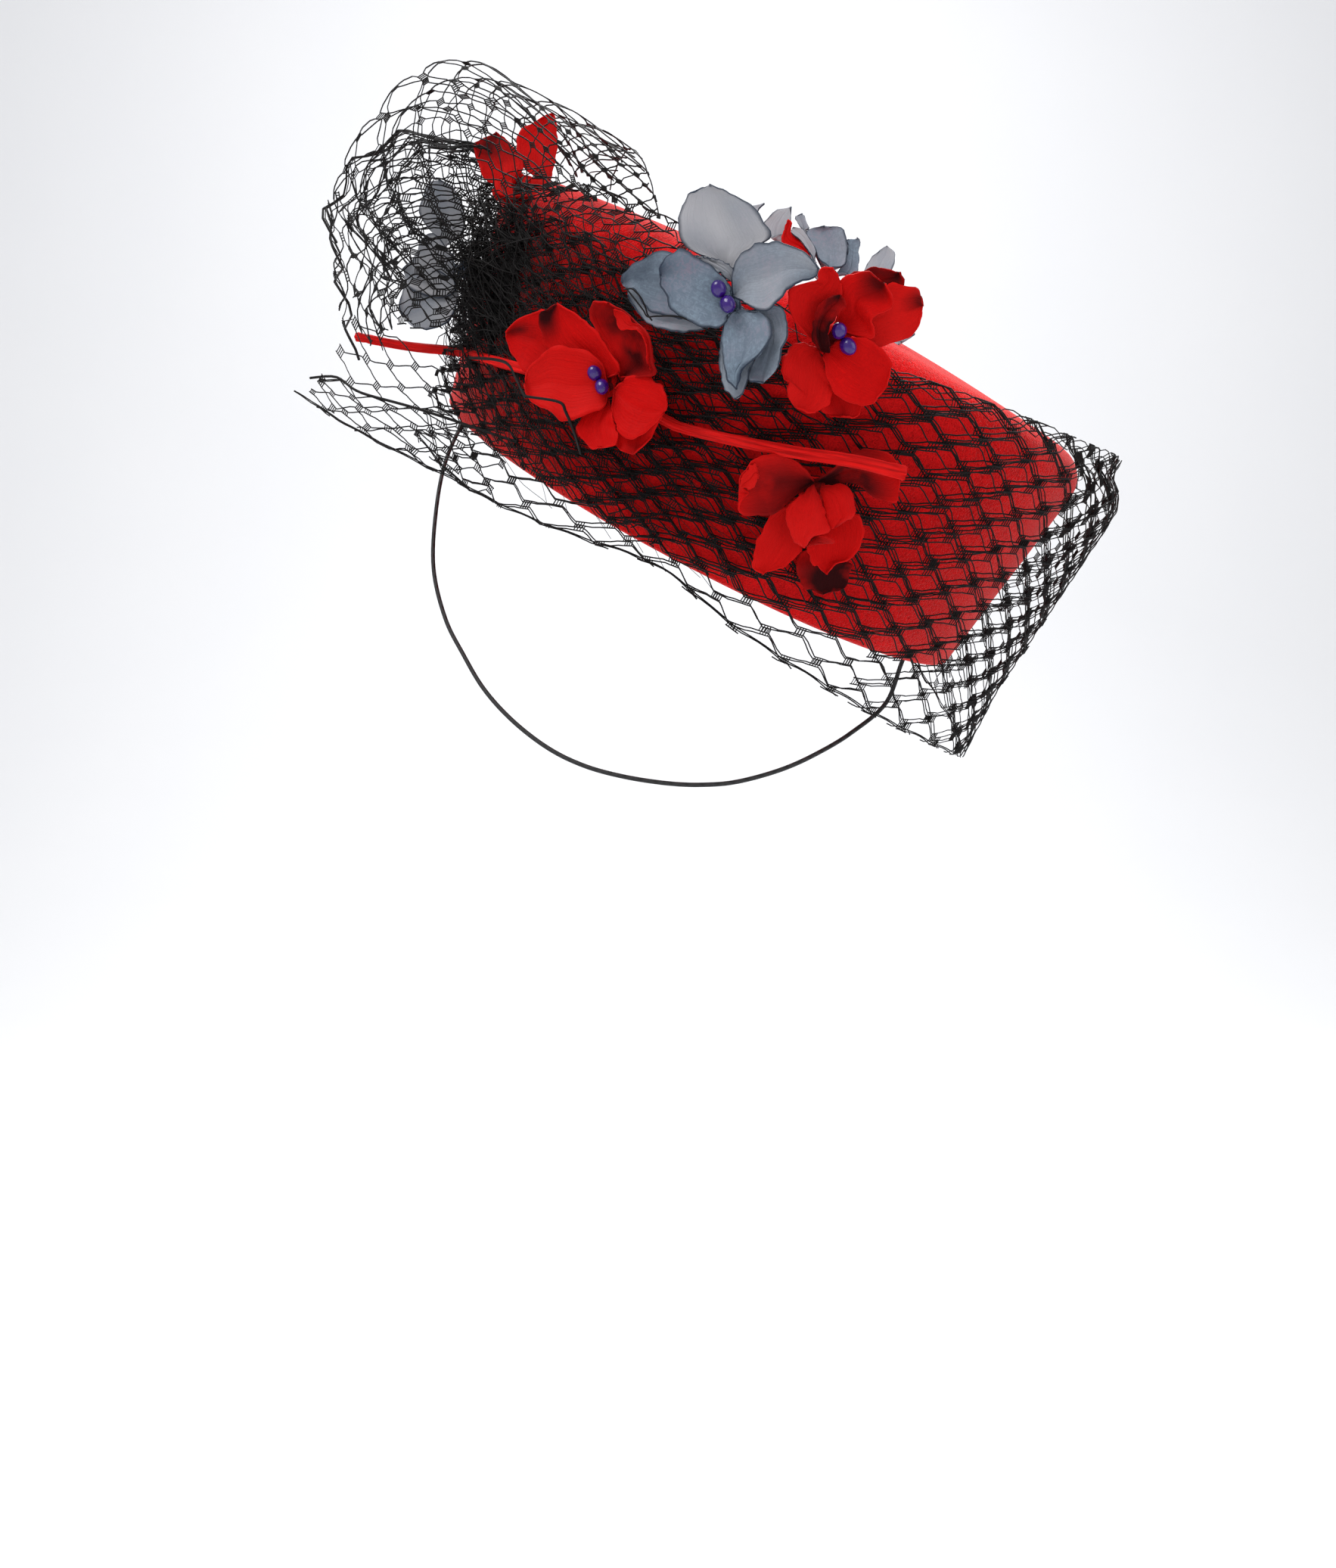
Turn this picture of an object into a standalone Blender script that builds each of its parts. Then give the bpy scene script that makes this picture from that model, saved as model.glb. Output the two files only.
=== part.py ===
"""Pillbox hat of red felt with a black net veil, silk flowers and an elastic cord.

The hat is modelled as it is worn. The origin is the centre of the rim's opening, where the hat sits,
+Z is up and the front faces -Y. The crown leans sideways and forward, so every piece is first laid
out in the hat's own upright frame, which has the same origin, and then tilted with the hat.
"""

import math

import bmesh
import bpy
from mathutils import Matrix, Vector

# Crown, in metres: a slightly flared oval wall, a rounded edge and a low dome
CROWN_LENGTH = 0.1900
CROWN_WIDTH = 0.1672
CROWN_HEIGHT = 0.0713
RIM_INSET = 0.0063
EDGE_RADIUS = 0.0090
CROWN_DOME = 0.0060
FELT = 0.0025
CROWN_SEGMENTS = 48
EDGE_STEPS = 3
DOME_STEPS = 3

# How the hat is worn
OVAL_TURN = math.radians(-30)
TILT_SIDE = math.radians(27.5)
TILT_FORWARD = math.radians(20.2)

# Veil net, built coarse here: bars round open cells
NET_BAR = 0.0013
NET_CLEAR = 0.0014
NET_RUNG = 0.24
BAND_CELLS = (17, 4)
FAN_CELLS = (3, 3)
POUF_CELLS = (5, 6)
POUF_REACH = 0.0370
GATHER_ANGLE = math.radians(-141)
GATHER_PLACE = 0.53
GATHER_HEIGHT = 0.0300
GATHER_WIDTH = 0.0105
GATHER_DEPTH = 0.0060
PLEATS = 6
PLEAT_DEPTH = 0.16

# Silk flowers, glass beads and ribbon stems
PETAL_LENGTH = 0.0220
PETAL_WIDTH = 0.0165
PETAL_THICKNESS = 0.0010
PETAL_CLAW = 0.16
PETAL_WIDEST = 0.58
PETAL_TIP = 0.44
PETAL_POINT = 0.10
HUB_RADIUS = 0.0034
HUB_HEIGHT = 0.0020
SHANK_RADIUS = 0.0015
BEAD_DIAMETER = 0.0032
BEAD_TURN = math.radians(-23)
STEM_DIAMETER = 0.0025
STEM_STEPS = 3

# Elastic
CORD_DIAMETER = 0.0012
CORD_STEPS = 3

# What touching pieces keep between them, and the least bend that is drawn as a crease
GAP = 0.0003
CREASE = math.radians(50)

STRAIGHT_WALL = CROWN_HEIGHT - EDGE_RADIUS - CROWN_DOME

# Veil round the crown, from the gather past the front, round the fold and to the back. Angle in
# degrees about the crown's axis, heights as shares of the crown's height, and how far the net
# stands off the wall there, as shares of the pouf's reach.
BAND_SECTIONS = (
    # angle, bottom, bottom_off, top, top_off
    (-133, -0.160, 0.120, 0.79, 0.034),
    (-120, -0.145, 0.070, 0.79, 0.034),
    (-104, -0.095, 0.034, 0.72, 0.034),
    (-88, -0.045, 0.034, 0.70, 0.034),
    (-72, -0.115, 0.050, 0.74, 0.034),
    (-50, -0.185, 0.120, 0.86, 0.110),
    (-32, -0.240, 0.280, 0.92, 0.180),
    (-16, -0.290, 0.470, 0.98, 0.280),
    (-4, -0.270, 0.380, 0.95, 0.230),
    (16, -0.180, 0.180, 0.86, 0.140),
    (45, -0.110, 0.070, 0.80, 0.050),
    (80, -0.070, 0.034, 0.78, 0.034),
    (118, -0.050, 0.034, 0.77, 0.034),
)

# Cut end of the net that fans out past the gather: the same columns
FAN_SECTIONS = (
    # angle, bottom, bottom_off, top, top_off
    (-134.2, -0.160, 0.130, 0.18, 0.060),
    (-148.0, -0.180, 0.600, 0.13, 0.400),
    (-160.0, -0.190, 1.060, 0.28, 0.940),
)

# Pouf of net: where its near edge leaves the band, its fold, and where its far edge comes down.
# Fold places are shares of the pouf's farthest point from the axis (across, forward) and of the
# crown's height.
# The far edge stands off the wall, or lies in over the crown, by a share of the edge radius.
POUF_SECTIONS = (
    # near_angle, near_height, fold_x, fold_y, fold_height, far_angle, far_height, far_off
    (-144, 0.40, -0.78, -0.30, 0.34, -156, 0.36, 0.20),
    (-142, 0.52, -0.90, -0.34, 0.50, -164, 0.52, 0.20),
    (-140, 0.64, -0.90, -0.33, 0.76, -172, 0.70, 0.22),
    (-137, 0.76, -0.85, -0.30, 1.02, -178, 0.84, 0.35),
    (-133, 0.84, -0.75, -0.30, 1.14, -180, 0.96, -0.20),
    (-127, 0.88, -0.62, -0.32, 1.14, -176, 0.97, -1.20),
    (-120, 0.90, -0.49, -0.37, 1.13, -165, 0.97, -1.50),
    (-112, 0.93, -0.35, -0.475, 1.09, -140, 0.97, -1.20),
)

# Flowers: where each sits on the crown, how far its heart stands off the felt, the way it faces
# above the wall's normal and round from it, and its petals. A petal has its turn in degrees from
# the wearer's left, its length and width as shares of the largest petal's, its lift off the
# flower's plane and its cup, both in degrees.
FLOWERS = (
    {
        "name": "flower_red_front",
        "cloth": "red_silk",
        "angle": -106.7,
        "height": 0.415,
        "stand_off": 0.0085,
        "face_up": 4,
        "face_round": 0,
        "beads": 2,
        "petals": (
            # turn, length, width, lift, cup
            (210, 0.86, 1.00, 16, 24),
            (176, 1.06, 0.72, 4, 12),
            (135, 1.00, 0.80, 12, 26),
            (88, 0.90, 0.92, 26, 40),
            (8, 0.76, 0.95, 20, 10),
            (-56, 0.74, 0.88, 10, 14),
        ),
    },
    {
        "name": "flower_blue_large",
        "cloth": "blue_silk",
        "angle": -93.6,
        "height": 0.790,
        "stand_off": 0.0150,
        "face_up": 6,
        "face_round": -4,
        "beads": 2,
        "petals": (
            (128, 1.16, 1.18, 12, 20),
            (48, 0.98, 0.98, 14, 8),
            (-58, 1.00, 0.80, 10, 12),
            (-36, 0.88, 0.74, 2, 4),
            (196, 0.72, 0.96, 16, 16),
            (218, 1.10, 0.72, 6, 6),
        ),
    },
    {
        "name": "flower_red_right",
        "cloth": "red_silk",
        "angle": -79.5,
        "height": 0.840,
        "stand_off": 0.0106,
        "face_up": 8,
        "face_round": 6,
        "beads": 2,
        "petals": (
            (128, 0.66, 0.72, 18, 30),
            (78, 0.98, 0.88, 10, 12),
            (36, 0.80, 0.80, 4, 6),
            (-18, 0.70, 0.86, 12, 10),
            (-104, 0.68, 0.80, 6, 10),
            (-58, 0.80, 0.70, 2, 4),
        ),
    },
    {
        "name": "flower_red_drooping",
        "cloth": "red_silk",
        "angle": -72.9,
        "height": 0.425,
        "stand_off": 0.0066,
        "face_up": -6,
        "face_round": 0,
        "beads": 0,
        "petals": (
            (202, 0.84, 0.96, 4, 6),
            (44, 0.84, 0.92, 2, 6),
            (-84, 0.70, 0.66, 24, 30),
            (-44, 0.76, 0.70, 20, 24),
            (-98, 1.06, 0.74, 8, 12),
            (-32, 1.00, 0.80, 6, 14),
            (-66, 1.12, 0.60, 2, 4),
        ),
    },
    {
        "name": "flower_blue_behind",
        "cloth": "blue_silk",
        "angle": -79.0,
        "height": 0.984,
        "stand_off": -0.0190,
        "face_up": 62,
        "face_round": 0,
        "beads": 0,
        "petals": (
            (92, 0.60, 0.76, 30, 30),
            (160, 0.66, 0.64, 24, 24),
            (24, 0.66, 0.56, 14, 14),
            (-60, 0.40, 0.60, 34, 20),
        ),
    },
    {
        "name": "flower_red_behind",
        "cloth": "red_silk",
        "angle": -93.0,
        "height": 0.981,
        "stand_off": -0.0190,
        "face_up": 58,
        "face_round": 0,
        "beads": 0,
        "petals": (
            (66, 0.60, 0.52, 34, 24),
            (-70, 0.36, 0.52, 10, 20),
        ),
    },
    {
        "name": "flower_blue_left",
        "cloth": "blue_silk",
        "angle": -151.5,
        "height": 0.520,
        "stand_off": 0.0080,
        "face_up": 4,
        "face_round": 24,
        "beads": 0,
        "petals": (
            (112, 0.66, 0.76, 10, 16),
            (196, 0.72, 0.84, 6, 12),
            (250, 0.84, 0.80, 8, 12),
        ),
    },
    {
        "name": "flower_red_left",
        "cloth": "red_silk",
        "angle": -148.0,
        "height": 0.850,
        "stand_off": 0.0050,
        "face_up": 30,
        "face_round": 14,
        "beads": 0,
        "petals": (
            (138, 0.72, 0.72, 10, 20),
            (78, 0.84, 0.62, 22, 16),
            (20, 0.56, 0.70, 24, 10),
            (200, 0.46, 0.60, 10, 10),
        ),
    },
)

# Ribbon-wrapped stems, through points on the crown: angle, share of the height, distance off the
# felt and thickness, both as shares of the stem's diameter
STEMS = {
    "stem_right": (
        (-99.5, 0.405, 1.5, 1.00),
        (-94.0, 0.405, 2.0, 1.00),
        (-86.0, 0.450, 3.9, 1.00),
        (-78.0, 0.505, 4.9, 1.08),
        (-71.0, 0.560, 5.2, 1.16),
        (-64.5, 0.595, 5.0, 1.30),
    ),
    "stem_left": (
        (-111.0, 0.385, 1.6, 1.00),
        (-124.0, 0.325, 1.9, 1.00),
        (-138.0, 0.272, 2.1, 1.00),
        (-149.0, 0.231, 2.6, 1.00),
        (-154.0, 0.167, 6.5, 1.00),
        (-158.5, 0.105, 11.6, 1.00),
    ),
}

# Elastic under the chin, end to end, in metres as worn: it is sewn inside the rim at both ends
CORD_ROUTE = (
    (0.0601, -0.0487, -0.0395),
    (0.0549, -0.0442, -0.0468),
    (0.0508, -0.0400, -0.0590),
    (0.0406, -0.0436, -0.0675),
    (0.0299, -0.0519, -0.0735),
    (0.0199, -0.0571, -0.0778),
    (0.0084, -0.0611, -0.0809),
    (-0.0007, -0.0626, -0.0817),
    (-0.0098, -0.0631, -0.0813),
    (-0.0208, -0.0624, -0.0796),
    (-0.0310, -0.0599, -0.0768),
    (-0.0406, -0.0561, -0.0722),
    (-0.0506, -0.0506, -0.0648),
    (-0.0594, -0.0439, -0.0558),
    (-0.0665, -0.0369, -0.0453),
    (-0.0732, -0.0286, -0.0339),
    (-0.0784, -0.0196, -0.0180),
    (-0.0796, -0.0110, 0.0000),
    (-0.0786, -0.0020, 0.0180),
    (-0.0748, 0.0072, 0.0335),
    (-0.0704, 0.0131, 0.0432),
    (-0.0674, 0.0105, 0.0513),
)

SILK_TABLE = {
    "red_silk": (0.72, 0.012, 0.010),
    "blue_silk": (0.17, 0.24, 0.31),
}


def clear_scene():
    for obj in list(bpy.data.objects):
        bpy.data.objects.remove(obj, do_unlink=True)


def material(name, colour, roughness, metallic=0.0):
    made = bpy.data.materials.new(name)
    made.use_nodes = True
    shader = made.node_tree.nodes["Principled BSDF"]
    shader.inputs["Base Color"].default_value = (*colour, 1.0)
    shader.inputs["Roughness"].default_value = roughness
    shader.inputs["Metallic"].default_value = metallic
    made.diffuse_color = (*colour, 1.0)
    return made


def collection(name):
    made = bpy.data.collections.new(name)
    bpy.context.scene.collection.children.link(made)
    return made


def wall_radius(angle, height):
    """Distance of the crown's outer face from its axis, at this angle about it and this height."""
    turned = angle - OVAL_TURN
    half_length = CROWN_LENGTH / 2
    half_width = CROWN_WIDTH / 2
    oval = half_length * half_width / math.hypot(
        half_width * math.cos(turned), half_length * math.sin(turned)
    )
    level = min(max(height, 0.0), STRAIGHT_WALL + 0.9 * EDGE_RADIUS)
    if level <= STRAIGHT_WALL:
        return oval - RIM_INSET * (1 - level / STRAIGHT_WALL)
    rise = level - STRAIGHT_WALL
    return oval - EDGE_RADIUS + math.sqrt(EDGE_RADIUS**2 - rise**2)


def on_crown(angle, height, off=0.0):
    """A point this far off the crown's outer face, in the hat's own frame."""
    radius = wall_radius(angle, height) + off
    return Vector((radius * math.cos(angle), radius * math.sin(angle), height))


def between(rows, share):
    """The row at this share of the way through a table, smoothly read between its rows."""
    place = min(max(share, 0.0), 1.0) * (len(rows) - 1)
    first = min(int(place), len(rows) - 2)
    ends = [rows[min(max(first + step, 0), len(rows) - 1)] for step in (-1, 0, 1, 2)]
    t = place - first
    weights = (
        (-t + 2 * t**2 - t**3) / 2,
        (2 - 5 * t**2 + 3 * t**3) / 2,
        (t + 4 * t**2 - 3 * t**3) / 2,
        (-(t**2) + t**3) / 2,
    )
    return [
        sum(weight * row[column] for weight, row in zip(weights, ends))
        for column in range(len(rows[0]))
    ]


def add_mesh(name, bm, cloth, group, tilt):
    mesh = bpy.data.meshes.new(name)
    bm.to_mesh(mesh)
    bm.free()
    mesh.shade_smooth()
    mesh.set_sharp_from_angle(angle=CREASE)
    mesh.materials.append(cloth)
    obj = bpy.data.objects.new(name, mesh)
    group.objects.link(obj)
    obj.parent = tilt
    return obj


def as_guide(obj):
    obj.hide_render = True
    obj.display_type = "WIRE"


def extrude_ring(bm, edges, inset, height, share=1.0):
    """Extrudes a ring to the oval that lies this far inside the crown's largest one."""
    made = bmesh.ops.extrude_edge_only(bm, edges=edges)["geom"]
    for vert in (part for part in made if isinstance(part, bmesh.types.BMVert)):
        angle = math.atan2(vert.co.y, vert.co.x)
        radius = (wall_radius(angle, STRAIGHT_WALL) - inset) * share
        vert.co = (radius * math.cos(angle), radius * math.sin(angle), height)
    return [part for part in made if isinstance(part, bmesh.types.BMEdge)]


def crown_side(bm, edges, inward):
    """One face of the felt from the rim to the middle of the dome, this far inside the outer face."""
    radius = EDGE_RADIUS - inward
    edges = extrude_ring(bm, edges, inward, STRAIGHT_WALL)
    for step in range(1, EDGE_STEPS + 1):
        bend = math.pi / 2 * step / EDGE_STEPS
        inset = inward + radius * (1 - math.cos(bend))
        edges = extrude_ring(bm, edges, inset, STRAIGHT_WALL + radius * math.sin(bend))
    top = STRAIGHT_WALL + radius
    for step in range(1, DOME_STEPS + 1):
        share = 1 - step / DOME_STEPS
        height = top + CROWN_DOME * (1 - share**2)
        edges = extrude_ring(bm, edges, EDGE_RADIUS, height, max(share, 0.02))
    middle = {vert for edge in edges for vert in edge.verts}
    bmesh.ops.pointmerge(bm, verts=list(middle), merge_co=(0, 0, top + CROWN_DOME))


def hat_shell(felt, group, tilt):
    bm = bmesh.new()
    circle = bmesh.ops.create_circle(bm, segments=CROWN_SEGMENTS, radius=1.0)
    for vert in circle["verts"]:
        angle = math.atan2(vert.co.y, vert.co.x)
        vert.co = on_crown(angle, 0.0)
    rim = list(bm.edges)
    crown_side(bm, rim, 0.0)
    inner = extrude_ring(bm, rim, RIM_INSET + FELT, 0.0)
    crown_side(bm, inner, FELT)
    bmesh.ops.recalc_face_normals(bm, faces=bm.faces)
    return add_mesh("hat_shell", bm, felt, group, tilt)


def net_lattice(name, cells, place, net, group, tilt):
    """A sheet of open net: bars round brick-laid cells, whose corners are drawn in to short rungs."""
    along, across = cells
    bm = bmesh.new()
    columns = 2 * along
    bmesh.ops.create_grid(bm, x_segments=columns, y_segments=across, size=0.5)

    def cell_of(vert):
        return round((vert.co.x + 0.5) * columns), round((vert.co.y + 0.5) * across)

    spare = []
    for edge in bm.edges:
        (column, row), (other, other_row) = (cell_of(vert) for vert in edge.verts)
        inside = 0 < column < columns
        if column == other and inside and (column + min(row, other_row)) % 2:
            spare.append(edge)
    corners = {vert: cell_of(vert) for vert in bm.verts}
    bmesh.ops.dissolve_edges(bm, edges=spare, use_verts=False, use_face_split=False)
    for vert, (column, row) in corners.items():
        draw = NET_RUNG if (column + row) % 2 == 0 else -NET_RUNG
        if column in (0, columns):
            draw = 0.0
        if (row == 0 and draw < 0) or (row == across and draw > 0):
            draw = 0.0
        vert.co = place(column / columns, (row + draw) / across)
    bmesh.ops.recalc_face_normals(bm, faces=bm.faces)
    obj = add_mesh(name, bm, net, group, tilt)
    bars = obj.modifiers.new("bars", "WIREFRAME")
    bars.thickness = NET_BAR
    bars.use_even_offset = False
    bars.use_boundary = True
    bars.use_replace = True
    return obj


def sheet_round_crown(rows):
    """Places a net sheet by a table of sections round the crown."""

    def place(share, rise):
        angle, bottom, bottom_off, top, top_off = between(rows, share)
        height = (bottom + (top - bottom) * rise) * CROWN_HEIGHT
        off = (bottom_off + (top_off - bottom_off) * rise) * POUF_REACH
        return on_crown(math.radians(angle), height, max(off, NET_CLEAR))

    return place


def place_on_pouf(share, round_it):
    """The pouf's sheet leaves the band, rises to its fold and comes down behind it."""
    row = between(POUF_SECTIONS, share)
    near_angle, near_height, fold_x, fold_y, fold_height, far_angle, far_height, far_off = row
    near_off = GATHER_DEPTH + 2 * GAP
    near = on_crown(math.radians(near_angle), near_height * CROWN_HEIGHT, near_off)
    far = on_crown(math.radians(far_angle), far_height * CROWN_HEIGHT, far_off * EDGE_RADIUS)
    reach = CROWN_LENGTH / 2 + POUF_REACH
    fold = Vector((fold_x * reach, fold_y * reach, fold_height * CROWN_HEIGHT))
    hold = 2 * fold - (near + far) / 2
    left = 1 - round_it
    return near * left**2 + hold * 2 * left * round_it + far * round_it**2


def veil_gather(net, group, tilt):
    """Where the veil is drawn together and sewn down: a tight ridge of net with pleats."""
    bm = bmesh.new()
    bmesh.ops.create_uvsphere(bm, u_segments=14, v_segments=10, radius=1.0)
    for vert in bm.verts:
        pleat = 1 + PLEAT_DEPTH * math.cos(PLEATS * math.atan2(vert.co.y, vert.co.x))
        round_crown = vert.co.x * pleat * GATHER_WIDTH / 2
        up = GATHER_PLACE * CROWN_HEIGHT + vert.co.z * GATHER_HEIGHT / 2
        out = GAP + GATHER_DEPTH / 2 * (1 + vert.co.y * pleat / (1 + PLEAT_DEPTH))
        wall = wall_radius(GATHER_ANGLE, up)
        vert.co = on_crown(GATHER_ANGLE - round_crown / wall, up, out)
    return add_mesh("veil_gather", bm, net, group, tilt)


def flower_frame(row):
    """A flower's own frame in the hat's: X to the wearer's left, Y up the crown, Z outwards."""
    angle = math.radians(row["angle"])
    base = on_crown(angle, row["height"] * CROWN_HEIGHT, row["stand_off"])
    turn = (
        Matrix.Rotation(angle + math.pi / 2 + math.radians(row["face_round"]), 4, "Z")
        @ Matrix.Rotation(math.pi / 2 - math.radians(row["face_up"]), 4, "X")
    )
    return Matrix.Translation(base) @ turn


def petal(name, turn, length, width, lift, cup, cloth, group, tilt):
    """One petal: a broad blade on a narrow claw, lifted off the flower's plane and cupped."""
    bm = bmesh.new()
    bmesh.ops.create_grid(bm, x_segments=4, y_segments=3, size=0.5)
    long = length * PETAL_LENGTH
    half = width * PETAL_WIDTH / 2
    rise = math.radians(lift)
    bend = math.radians(cup)
    for vert in bm.verts:
        share = vert.co.x + 0.5
        side = 2 * vert.co.y
        outline = math.sqrt(max(1 - ((share - PETAL_WIDEST) / PETAL_TIP) ** 2, 0.0))
        reach = long * (0.05 + 0.95 * share - PETAL_POINT * side**2 * share)
        out = half * max(outline, PETAL_CLAW) * side
        lean = rise + bend * (share - 0.3)
        up = reach * math.sin(lean) + 0.5 * half * math.sin(bend) * side**2 * share
        vert.co = (reach * math.cos(lean), out, up)
    bmesh.ops.rotate(bm, verts=bm.verts, matrix=Matrix.Rotation(math.radians(turn), 3, "Z"))
    obj = add_mesh(name, bm, cloth, group, tilt)
    wall = obj.modifiers.new("thickness", "SOLIDIFY")
    wall.thickness = PETAL_THICKNESS
    wall.offset = 0.0
    as_guide(obj)
    return obj


def flower(row, cloth, parts, helpers, tilt):
    """A heart with its shank down to the felt, and the petals joined to it in one body."""
    frame = flower_frame(row)
    bm = bmesh.new()
    bmesh.ops.create_uvsphere(bm, u_segments=10, v_segments=6, radius=1.0)
    bmesh.ops.scale(bm, vec=(HUB_RADIUS, HUB_RADIUS, HUB_HEIGHT), verts=bm.verts)
    heart = add_mesh(row["name"], bm, cloth, parts, tilt)
    heart.matrix_local = frame
    blades = [
        petal(f"{row['name']}_petal_{count}", *sizes, cloth, helpers, tilt)
        for count, sizes in enumerate(row["petals"], 1)
    ]
    for blade in blades:
        blade.matrix_local = frame
    if row["stand_off"] > 0:
        blades.append(shank(row, cloth, helpers, tilt))
    for blade in blades:
        join = heart.modifiers.new("with " + blade.name, "BOOLEAN")
        join.operation = "UNION"
        join.object = blade
    return heart


def shank(row, cloth, helpers, tilt):
    """The short stalk that a flower is sewn down by, from its heart to just off the felt."""
    angle = math.radians(row["angle"])
    height = row["height"] * CROWN_HEIGHT
    fall = wall_radius(angle, height - SHANK_RADIUS) - wall_radius(angle, height)
    off = GAP + max(fall, 0.0)
    foot = on_crown(angle, height, off)
    length = row["stand_off"] - off
    bm = bmesh.new()
    bmesh.ops.create_cone(
        bm, cap_ends=True, segments=8, radius1=SHANK_RADIUS, radius2=SHANK_RADIUS, depth=length
    )
    bmesh.ops.translate(bm, vec=(0, 0, length / 2), verts=bm.verts)
    obj = add_mesh(row["name"] + "_shank", bm, cloth, helpers, tilt)
    outward = Matrix.Rotation(angle, 4, "Z") @ Matrix.Rotation(math.pi / 2, 4, "Y")
    obj.matrix_local = Matrix.Translation(foot) @ outward
    as_guide(obj)
    return obj


def beads(row, glass, parts, tilt):
    """The pair of stamen beads that sit on a flower's heart."""
    frame = flower_frame(row)
    spread = (BEAD_DIAMETER + GAP) / 2
    height = HUB_HEIGHT + GAP + BEAD_DIAMETER / 2
    for count in range(row["beads"]):
        side = 1 if count else -1
        bm = bmesh.new()
        bmesh.ops.create_uvsphere(bm, u_segments=10, v_segments=6, radius=BEAD_DIAMETER / 2)
        place = Vector((side * spread, 0, 0))
        place.rotate(Matrix.Rotation(BEAD_TURN, 3, "Z"))
        place.z = height
        obj = add_mesh(f"bead_{row['name'][7:]}_{count + 1}", bm, glass, parts, tilt)
        obj.matrix_local = frame @ Matrix.Translation(place)


def smooth_points(route, steps):
    """Points along a smooth curve through the route's points."""
    count = steps * (len(route) - 1)
    return [Vector(between(route, step / count)) for step in range(count + 1)]


def tube(name, points, radii, cloth, group, tilt):
    curve = bpy.data.curves.new(name, "CURVE")
    curve.dimensions = "3D"
    curve.bevel_depth = 1.0
    curve.bevel_resolution = 2
    curve.use_fill_caps = True
    spline = curve.splines.new("POLY")
    spline.points.add(len(points) - 1)
    for spot, place, radius in zip(spline.points, points, radii):
        spot.co = (*place, 1)
        spot.radius = radius
    curve.materials.append(cloth)
    obj = bpy.data.objects.new(name, curve)
    group.objects.link(obj)
    obj.parent = tilt
    return obj


def stem(name, cloth, group, tilt):
    points = []
    radii = []
    count = STEM_STEPS * (len(STEMS[name]) - 1)
    for step in range(count + 1):
        angle, height, off, thick = between(STEMS[name], step / count)
        points.append(on_crown(math.radians(angle), height * CROWN_HEIGHT, off * STEM_DIAMETER))
        radii.append(thick * STEM_DIAMETER / 2)
    return tube(name, points, radii, cloth, group, tilt)


def build():
    clear_scene()
    parts = collection("pillbox_hat")
    helpers = collection("cutters")
    tilt = bpy.data.objects.new("tilt", None)
    parts.objects.link(tilt)
    tilt.matrix_world = Matrix.Rotation(TILT_SIDE, 4, "Y") @ Matrix.Rotation(TILT_FORWARD, 4, "X")

    felt = material("red_felt", (0.70, 0.012, 0.012), 0.85)
    net = material("black_net", (0.010, 0.009, 0.010), 0.55)
    glass = material("violet_bead", (0.045, 0.010, 0.20), 0.15)
    elastic = material("black_elastic", (0.012, 0.012, 0.013), 0.60)
    ribbon = material("red_ribbon", (0.68, 0.010, 0.008), 0.60)
    silks = {name: material(name, colour, 0.70) for name, colour in SILK_TABLE.items()}

    hat_shell(felt, parts, tilt)
    net_lattice("veil_band", BAND_CELLS, sheet_round_crown(BAND_SECTIONS), net, parts, tilt)
    net_lattice("veil_fan", FAN_CELLS, sheet_round_crown(FAN_SECTIONS), net, parts, tilt)
    net_lattice("veil_pouf", POUF_CELLS, place_on_pouf, net, parts, tilt)
    veil_gather(net, parts, tilt)
    for row in FLOWERS:
        flower(row, silks[row["cloth"]], parts, helpers, tilt)
        beads(row, glass, parts, tilt)
    for name in STEMS:
        stem(name, ribbon, parts, tilt)
    route = smooth_points(CORD_ROUTE, CORD_STEPS)
    tube("elastic_cord", route, [CORD_DIAMETER / 2] * len(route), elastic, parts, None)


build()
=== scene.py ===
import bisect
import math
import random

import bmesh
import bpy
from mathutils import Matrix, Vector, noise


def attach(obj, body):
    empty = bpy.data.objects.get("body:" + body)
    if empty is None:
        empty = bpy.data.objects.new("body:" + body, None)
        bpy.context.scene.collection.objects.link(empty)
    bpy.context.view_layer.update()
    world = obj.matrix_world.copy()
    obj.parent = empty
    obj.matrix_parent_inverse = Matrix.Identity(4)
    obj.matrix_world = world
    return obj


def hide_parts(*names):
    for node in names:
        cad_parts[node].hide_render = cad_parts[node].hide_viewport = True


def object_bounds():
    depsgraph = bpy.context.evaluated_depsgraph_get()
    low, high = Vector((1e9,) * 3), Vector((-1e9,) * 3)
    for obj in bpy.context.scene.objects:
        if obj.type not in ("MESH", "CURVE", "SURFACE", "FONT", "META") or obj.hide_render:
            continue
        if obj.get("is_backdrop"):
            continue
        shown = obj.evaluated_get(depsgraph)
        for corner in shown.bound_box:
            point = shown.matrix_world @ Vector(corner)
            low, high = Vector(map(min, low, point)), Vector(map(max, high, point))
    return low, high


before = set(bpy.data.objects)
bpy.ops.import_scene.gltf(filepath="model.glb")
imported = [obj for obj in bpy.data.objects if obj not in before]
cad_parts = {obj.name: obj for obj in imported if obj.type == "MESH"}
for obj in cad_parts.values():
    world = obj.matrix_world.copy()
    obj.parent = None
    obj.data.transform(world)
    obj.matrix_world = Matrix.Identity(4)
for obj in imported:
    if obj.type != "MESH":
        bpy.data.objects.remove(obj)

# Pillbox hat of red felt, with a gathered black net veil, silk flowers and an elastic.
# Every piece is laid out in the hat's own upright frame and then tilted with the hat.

CAD_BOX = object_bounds()
NOISE_SEED = 7
noise.seed_set(NOISE_SEED)  # without it noise_vector differs from run to run

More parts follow.
